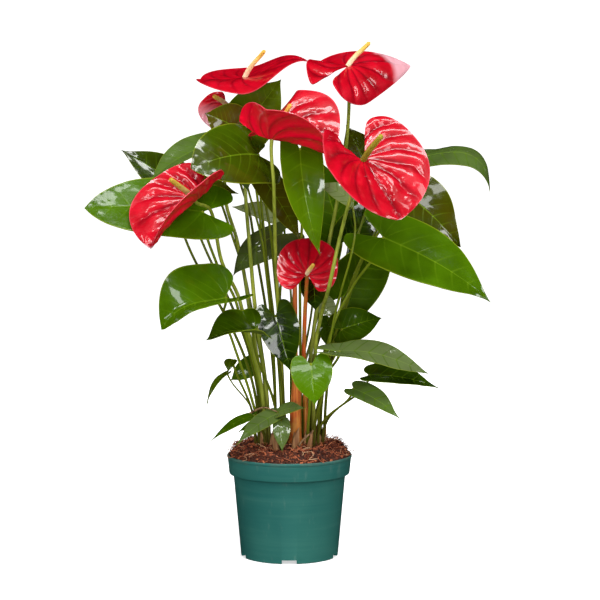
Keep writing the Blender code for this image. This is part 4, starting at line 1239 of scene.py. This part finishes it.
collar_foot = POT_HEIGHT - COLLAR_HEIGHT
floor_top = FLOOR_LIFT + FLOOR
floor_radius = BASE_RADIUS + (WALL_TOP_RADIUS - BASE_RADIUS) * floor_top / collar_foot
shape = Shape()
turned(shape, rounded([
    (0, FLOOR_LIFT), (BASE_RADIUS - 5.0, FLOOR_LIFT), (BASE_RADIUS - 4.0, 0), (BASE_RADIUS, 0),
    (WALL_TOP_RADIUS, collar_foot - 1.5), (COLLAR_FOOT_RADIUS, collar_foot - 0.6),
    (RIM_RADIUS - 0.7, POT_HEIGHT - 3.4), (RIM_RADIUS, POT_HEIGHT - 2.6), (RIM_RADIUS, POT_HEIGHT),
    (RIM_RADIUS - WALL, POT_HEIGHT), (COLLAR_FOOT_RADIUS - WALL - 0.4, collar_foot + 2.5),
    (WALL_TOP_RADIUS - WALL, collar_foot - 1.0), (floor_radius - WALL, floor_top), (0, floor_top),
], EDGE_ROUNDING), POT_SIDES)
pot = shape.build("nursery_pot_fine", POT_FINISH, 30.0)

BOX_FACES = [(3, 2, 1, 0), (4, 5, 6, 7), (0, 1, 5, 4), (1, 2, 6, 5), (2, 3, 7, 6), (3, 0, 4, 7)]
half = NOTCH_WIDTH / 2
NOTCH_OUTLINE = [(-6, -half), (6, -half), (6, half), (-6, half)]
shape = Shape()
for number in range(NOTCHES):
    angle = 2 * math.pi * number / NOTCHES - math.pi / 2
    way = Vector((math.cos(angle), math.sin(angle), 0))
    side = Vector((-math.sin(angle), math.cos(angle), 0))
    corners = [way * (BASE_RADIUS - 2 + x) + side * y + Vector((0, 0, z))
               for z in (-NOTCH_HEIGHT, NOTCH_HEIGHT) for x, y in NOTCH_OUTLINE]
    shape.add(corners, BOX_FACES)
    drain = angle + math.pi / NOTCHES
    middle = Vector((DRAIN_RING * math.cos(drain), DRAIN_RING * math.sin(drain), 0))
    add_tube(shape, [middle, middle + Vector((0, 0, 20))], [DRAIN_RADIUS, DRAIN_RADIUS], 24)
notches = shape.build("notches", POT_FINISH)
cut = pot.modifiers.new("notches", "BOOLEAN")
cut.operation = "DIFFERENCE"
cut.solver = "EXACT"
cut.object = notches
pot.data = bpy.data.meshes.new_from_object(pot.evaluated_get(bpy.context.evaluated_depsgraph_get()))
pot.modifiers.clear()
bpy.data.objects.remove(notches, do_unlink=True)
pot.data.set_sharp_from_angle(angle=math.radians(30.0))
dress(pot, "pot", "nursery_pot")
print("pot faces:", len(pot.data.polygons))

# %% [markdown]
# The mix starts as one lumpy mound. Bark chips and coir fibres are then scattered over its top: a handful
# of different chips and strands are modelled, and Geometry Nodes picks among them, turns them and scales
# them.

# %% The potting mix
MIX_RIM_LEVEL = 104.0
MIX_EDGE_RISE = 8.0
MIX_MOUND = 8.0
MIX_ROUGHNESS = 5.0
MIX_RINGS = 40
CHIP_SIDES = 7
CHIP_LENGTH = 2.6
CHIP_WIDTH = 1.7
FIBRE_STEPS = 8
FIBRE_LENGTH = 11.0
LITTER = {"Chip Spacing": 2.1 * MM, "Fibre Density": 45000.0}
CHIPS_A_SQUARE_METRE = 400000.0


def mix_height(x, y):
    """The lumpy top of the potting mix."""
    out = math.hypot(x, y) / (RIM_RADIUS - WALL)
    edge = min(1.0, (1.0 - out) * 9.0)
    lumps = noise.noise(Vector((x, y, 3.0)) * 0.085) + 0.7 * noise.noise(Vector((x, y, 9.0)) * 0.23)
    fine = 0.9 * noise.noise(Vector((x, y, 5.0)) * 0.5)
    mound = MIX_RIM_LEVEL + MIX_EDGE_RISE * edge + MIX_MOUND * (1 - out * out)
    return mound + MIX_ROUGHNESS * lumps * edge + fine * edge


rim_reach = RIM_RADIUS - WALL - 1.0
slack = WALL + 0.6
base = floor_top + 0.4
shape = Shape()
profile = [(0, base), (floor_radius - slack, base), (WALL_TOP_RADIUS - slack, collar_foot),
           (rim_reach - 2.0, collar_foot + 3.0), (rim_reach, MIX_RIM_LEVEL)]
profile += [(rim_reach * ring / MIX_RINGS, MIX_RIM_LEVEL + 1) for ring in reversed(range(MIX_RINGS))]
turned(shape, profile, 120)
for point in shape.points:
    if point.z > MIX_RIM_LEVEL:
        point.z = mix_height(point.x, point.y)
ground = shape.build("potting_mix_ground", MIX_FINISH)


def chip(number):
    """An angular flake of bark."""
    shape = Shape()
    corners = []
    for level, wide in ((-0.5, 0.7), (0.5, 0.55)):
        for side in range(CHIP_SIDES):
            angle = 2 * math.pi * side / CHIP_SIDES
            x, y = math.cos(angle), math.sin(angle)
            rough = 1 + 0.45 * noise.noise(Vector((x, y, number * 3.1 + level)))
            corners.append(Vector((CHIP_LENGTH * wide * rough * x, CHIP_WIDTH * wide * rough * y, level)))
    faces = []
    for side in range(CHIP_SIDES):
        after = (side + 1) % CHIP_SIDES
        faces.append((side, after, after + CHIP_SIDES, side + CHIP_SIDES))
    ends = [tuple(reversed(range(CHIP_SIDES))), tuple(range(CHIP_SIDES, 2 * CHIP_SIDES))]
    shape.add(corners, faces + ends)
    return shape.build(f"chip_{number}", MIX_FINISH, 20.0)


def fibre(number):
    """A curled strand of coir, thickest in its middle."""
    shape = Shape()
    path, radii = [], []
    for step in range(FIBRE_STEPS + 1):
        share = step / FIBRE_STEPS
        t = share - 0.5
        aside, up = (noise.noise(Vector((t * 2.2, number * 5.7, axis * 9.1))) for axis in range(2))
        path.append(Vector((FIBRE_LENGTH * t, 7 * aside, 2.2 + 4 * up)))
        radii.append(0.16 + 0.10 * math.sin(math.pi * share))
    add_tube(shape, path, radii, 4)
    return shape.build(f"fibre_{number}", MIX_FINISH)


def kinds(name, maker, count):
    """A collection of small shapes for the scatter to pick from."""
    group = bpy.data.collections.new(name)
    for number in range(count):
        obj = maker(number)
        group.objects.link(obj)
        bpy.context.scene.collection.objects.unlink(obj)
    return group


def litter_tree():
    tree = Tree("litter", {
        "Chips": "NodeSocketCollection", "Chip Spacing": "NodeSocketFloat",
        "Fibres": "NodeSocketCollection", "Fibre Density": "NodeSocketFloat"})
    ground = tree.inputs["Geometry"]
    facing = tree.node("GeometryNodeInputNormal")
    upward = tree.node("ShaderNodeSeparateXYZ", None, {0: facing}, output="Z")
    above = {"data_type": "FLOAT", "operation": "GREATER_THAN"}
    top = tree.node("FunctionNodeCompare", above, {0: upward, 1: 0.35})

    def number(low, high, seed):
        sockets = {2: low, 3: high, "Seed": seed}
        return tree.node("FunctionNodeRandomValue", {"data_type": "FLOAT"}, sockets, output=1)

    def litter(group, method, spread, seed, tilt, shades):
        """Scatters one kind of litter over the top, each piece turned, sized and shaded by chance."""
        sockets = {"Mesh": ground, "Selection": top, "Seed": seed, **spread}
        places = tree.node("GeometryNodeDistributePointsOnFaces", {"distribute_method": method}, sockets)
        shapes = tree.node("GeometryNodeCollectionInfo", None, {
            "Collection": tree.inputs[group], "Separate Children": True, "Reset Children": True})
        turn = tree.node("FunctionNodeRandomValue", {"data_type": "FLOAT_VECTOR"}, {
            0: (-tilt, -tilt, 0.0), 1: (tilt, tilt, 6.28), "Seed": seed + 1})
        pieces = tree.node("GeometryNodeInstanceOnPoints", None, {
            "Points": places, "Instance": shapes, "Pick Instance": True, "Rotation": turn,
            "Scale": number(0.45, 1.55, seed + 2)})
        stored = {"data_type": "FLOAT", "domain": "INSTANCE"}
        return tree.node("GeometryNodeStoreNamedAttribute", stored, {
            "Geometry": pieces, "Name": "shade", "Value": number(*shades, seed + 3)})

    spacing = {"Distance Min": tree.inputs["Chip Spacing"], "Density Max": CHIPS_A_SQUARE_METRE}
    chips = litter("Chips", "POISSON", spacing, 3, 0.9, (0.0, 0.9))
    fibres = litter("Fibres", "RANDOM", {"Density": tree.inputs["Fibre Density"]}, 11, 0.35, (0.3, 1.0))
    joined = tree.node("GeometryNodeJoinGeometry", None, {"Geometry": [ground, chips, fibres]})
    tree.finish(joined, MIX_FINISH)
    return tree


chips, fibres = kinds("chips", chip, 5), kinds("fibres", fibre, 6)
mix = litter_tree().bake(ground, "potting_mix_fine", {"Chips": chips, "Fibres": fibres, **LITTER})
for group in (chips, fibres):
    for obj in list(group.objects):
        bpy.data.objects.remove(obj, do_unlink=True)
dress(mix, "potting_mix", "potting_mix")
print("potting mix faces:", len(mix.data.polygons))

# %% [markdown]
# Last, the small things that make a grown plant look grown: a straw-coloured twig, a fallen stalk and a
# dark root at the foot of the clump, and the dry brown sheaths that old stalks leave behind.

# %% Twigs and dry sheaths
TWIG_TAPER = 0.55
HUSK_ROWS = 12
HUSK_COLUMNS = 8
HUSK_THICKNESS = 0.35
HUSK_RING = 33.0
HUSKS_ROUND = 18


def twig(name, route, radius, dry, shade):
    """A thin tapering stick: dry ones are straw-coloured, the rest take the mix's own colours."""
    places = [Vector(place) for place in route]
    path = hermite_path(places, places[1] - places[0], places[-1] - places[-2], 16)
    shape = Shape()
    radii = [radius * (1.0 - TWIG_TAPER * step / (len(path) - 1)) for step in range(len(path))]
    add_tube(shape, path, radii, 8, dry=dry, shade=shade)
    return shape.build(name, SHEATH_FINISH if dry else MIX_FINISH)


dress(twig("dry_twig", [(8, -44, 118), (14, -50, 128), (25, -50, 138)], 1.5, 1.0, 0.0), "sheath")
dress(twig("fallen_stalk", [(-42, -30, 152), (-26, -40, 160), (-12, -42, 156)], 1.2, 1.0, 0.0), "sheath")
dress(twig("curved_root", [(34, -30, 112), (40, -33, 122), (48, -34, 130)], 0.9, 0.0, 0.05), "potting_mix")


def husk(name, foot, height, width, turn, lean):
    """A curled strip of dry sheath that stands at the foot of a stalk."""
    shape = Shape()
    points, faces = [], []
    for row in range(HUSK_ROWS + 1):
        t = row / HUSK_ROWS
        wide = width * (1 - t ** 3) * (1 + 0.25 * t)
        for column in range(HUSK_COLUMNS + 1):
            angle = turn + (column / HUSK_COLUMNS - 0.5) * (2.2 - 0.9 * t)
            x = foot[0] + wide * math.cos(angle) + lean[0] * t * t
            y = foot[1] + wide * math.sin(angle) + lean[1] * t * t
            points.append(Vector((x, y, foot[2] + height * t)))
    around = HUSK_COLUMNS + 1
    for row in range(HUSK_ROWS):
        for column in range(HUSK_COLUMNS):
            first = row * around + column
            faces.append((first, first + 1, first + around + 1, first + around))
    shape.add(points, faces, dry=0.85)
    made = shape.build(name, SHEATH_FINISH)
    wall = made.modifiers.new("wall", "SOLIDIFY")
    wall.thickness = HUSK_THICKNESS * MM
    wall.offset = 0.0
    return made


for number, (foot, height, width, turn, lean) in enumerate([
    ((6, -38, 114), 26, 4.5, -1.6, (4, -3)), ((-12, -39, 113), 20, 4.0, -2.0, (-5, -2)),
    ((19, -36, 113), 24, 3.6, -1.0, (5, -2)), ((-24, -26, 112), 18, 3.8, -2.6, (-5, 0)),
    ((-6, 26, 115), 22, 4.2, 1.6, (-2, 5)), ((24, 16, 114), 18, 3.8, 0.6, (5, 3)),
]):
    dress(husk(f"dry_sheath_{number + 1}", foot, height, width, turn, lean), "sheath")
for number in range(HUSKS_ROUND):
    rough = noise.noise(Vector((number * 1.7, 0.4, 0.2)))
    turn = 2 * math.pi * (number + 0.4 * rough) / HUSKS_ROUND
    reach = HUSK_RING * (1.0 + 0.18 * rough)
    foot = (reach * math.cos(turn), reach * math.sin(turn), 112)
    lean = (4 * math.cos(turn + 6 * rough), 4 * math.sin(turn + 6 * rough))
    dress(husk(f"old_sheath_{number + 1}", foot, 24 + 22 * rough, 4.2, turn, lean), "sheath")
print("twigs and dry sheaths placed")

# %% [markdown]
# The studio is a closed white room with a glowing floor, a painted light that is weaker near the pot and
# fades to white far off, and eight soft lamps. Six of them are mirrored as pale streaks in the glossy
# spathes and leaves. The other two, without shine, only fill the shadows. Pieces are drawn in millimetres,
# while the lamps and the camera are placed in metres.

# %% Studio and camera
ROOM = 6000.0
FLOOR_LEVEL = -0.2
SKY_STRENGTH = 0.16
CAMERA_PLACE = (0.011, -2.1, 0.446)
CAMERA_TILT = 4.88
CAMERA_LENS = 122.2


def soft_lamp(name, place, aim, wide, tall, power, shine=True):
    """A lamp without shine lights a surface but isn't mirrored in it."""
    lamp = bpy.data.lights.new(name, "AREA")
    lamp.shape = "RECTANGLE"
    lamp.size = wide
    lamp.size_y = tall
    lamp.energy = power
    obj = bpy.data.objects.new(name, lamp)
    obj.location = place
    obj.rotation_euler = (Vector(aim) - Vector(place)).to_track_quat("-Z", "Y").to_euler()
    obj.visible_glossy = shine
    bpy.context.scene.collection.objects.link(obj)


soft_lamp("top_lamp", (0.1, -0.85, 1.95), (0, 0, 0.35), 0.7, 0.35, 15.0)
soft_lamp("left_lamp", (-1.5, -1.2, 1.2), (0, 0, 0.35), 0.3, 1.0, 11.0)
soft_lamp("front_lamp", (0.75, -1.6, 1.45), (0, 0, 0.35), 0.5, 0.9, 13.0)
soft_lamp("fill_lamp", (-0.2, -2.3, 0.1), (0, 0, 0.3), 1.4, 0.8, 42.0, shine=False)
soft_lamp("right_lamp", (1.75, -0.45, 1.0), (0, 0, 0.3), 0.25, 1.0, 10.0)
soft_lamp("high_left_lamp", (-0.4, -0.46, 1.88), (0, 0, 0.4), 0.34, 0.2, 5.5)
soft_lamp("centre_lamp", (-0.3, -1.23, 1.54), (0, 0, 0.4), 0.26, 0.22, 3.5)
soft_lamp("back_lamp", (0.3, 1.6, 1.7), (0, 0, 0.3), 0.9, 0.5, 22.0, shine=False)

world = bpy.data.worlds.new("white sky")
world.use_nodes = True
sky = world.node_tree.nodes["Background"].inputs
sky["Color"].default_value = (1.0, 1.0, 1.0, 1.0)
sky["Strength"].default_value = SKY_STRENGTH
world.cycles_visibility.glossy = False
bpy.context.scene.world = world
bpy.context.scene.view_settings.view_transform = "Standard"


def paper_sheet(name, corners, faces, finish):
    """Part of the stage that the camera sees, but that nothing else mirrors or is lit by."""
    flat = Shape()
    flat.add([Vector(corner) for corner in corners], faces)
    made = flat.build(name, finish.material)
    made.visible_glossy = made.visible_diffuse = False


def grey(share):
    """A grey in linear values, from 0 for black to 1 for white."""
    return (share, share, share, 1.0)


# The floor glows: painted light, weaker near the pot, where the plant's shadow falls, and white far off.
floor_glow = Finish("pale floor", {"Base Color": grey(0.94), "Roughness": 0.9, "Emission Strength": 1.0})
length = {"operation": "LENGTH"}
away = floor_glow.node("ShaderNodeVectorMath", length, {0: floor_glow.place()}, output="Value")
floor_glow.into(Emission_Color=floor_glow.mix(away.rising(0.08, 1.0), grey(0.55), grey(1.0)))
paper = Finish("white paper", {"Emission Color": grey(1.0), "Emission Strength": 1.0})
corners = [(-ROOM, -ROOM), (ROOM, -ROOM), (ROOM, ROOM), (-ROOM, ROOM)]
paper_sheet("floor", [(x, y, FLOOR_LEVEL) for x, y in corners], [(0, 1, 2, 3)], floor_glow)
walls = [(x, y, height) for height in (FLOOR_LEVEL, ROOM) for x, y in corners]
sides = [(side, (side + 1) % 4, (side + 1) % 4 + 4, side + 4) for side in range(4)]
paper_sheet("backdrop", walls, sides, paper)

camera = bpy.data.cameras.new("camera")
camera.sensor_width = 36.0
camera.lens = CAMERA_LENS
camera.clip_end = 30.0
view = bpy.data.objects.new("camera", camera)
view.location = CAMERA_PLACE
view.rotation_euler = (math.radians(90.0 - CAMERA_TILT), 0.0, 0.0)
bpy.context.scene.collection.objects.link(view)
bpy.context.scene.camera = view
print("camera at", tuple(view.location))
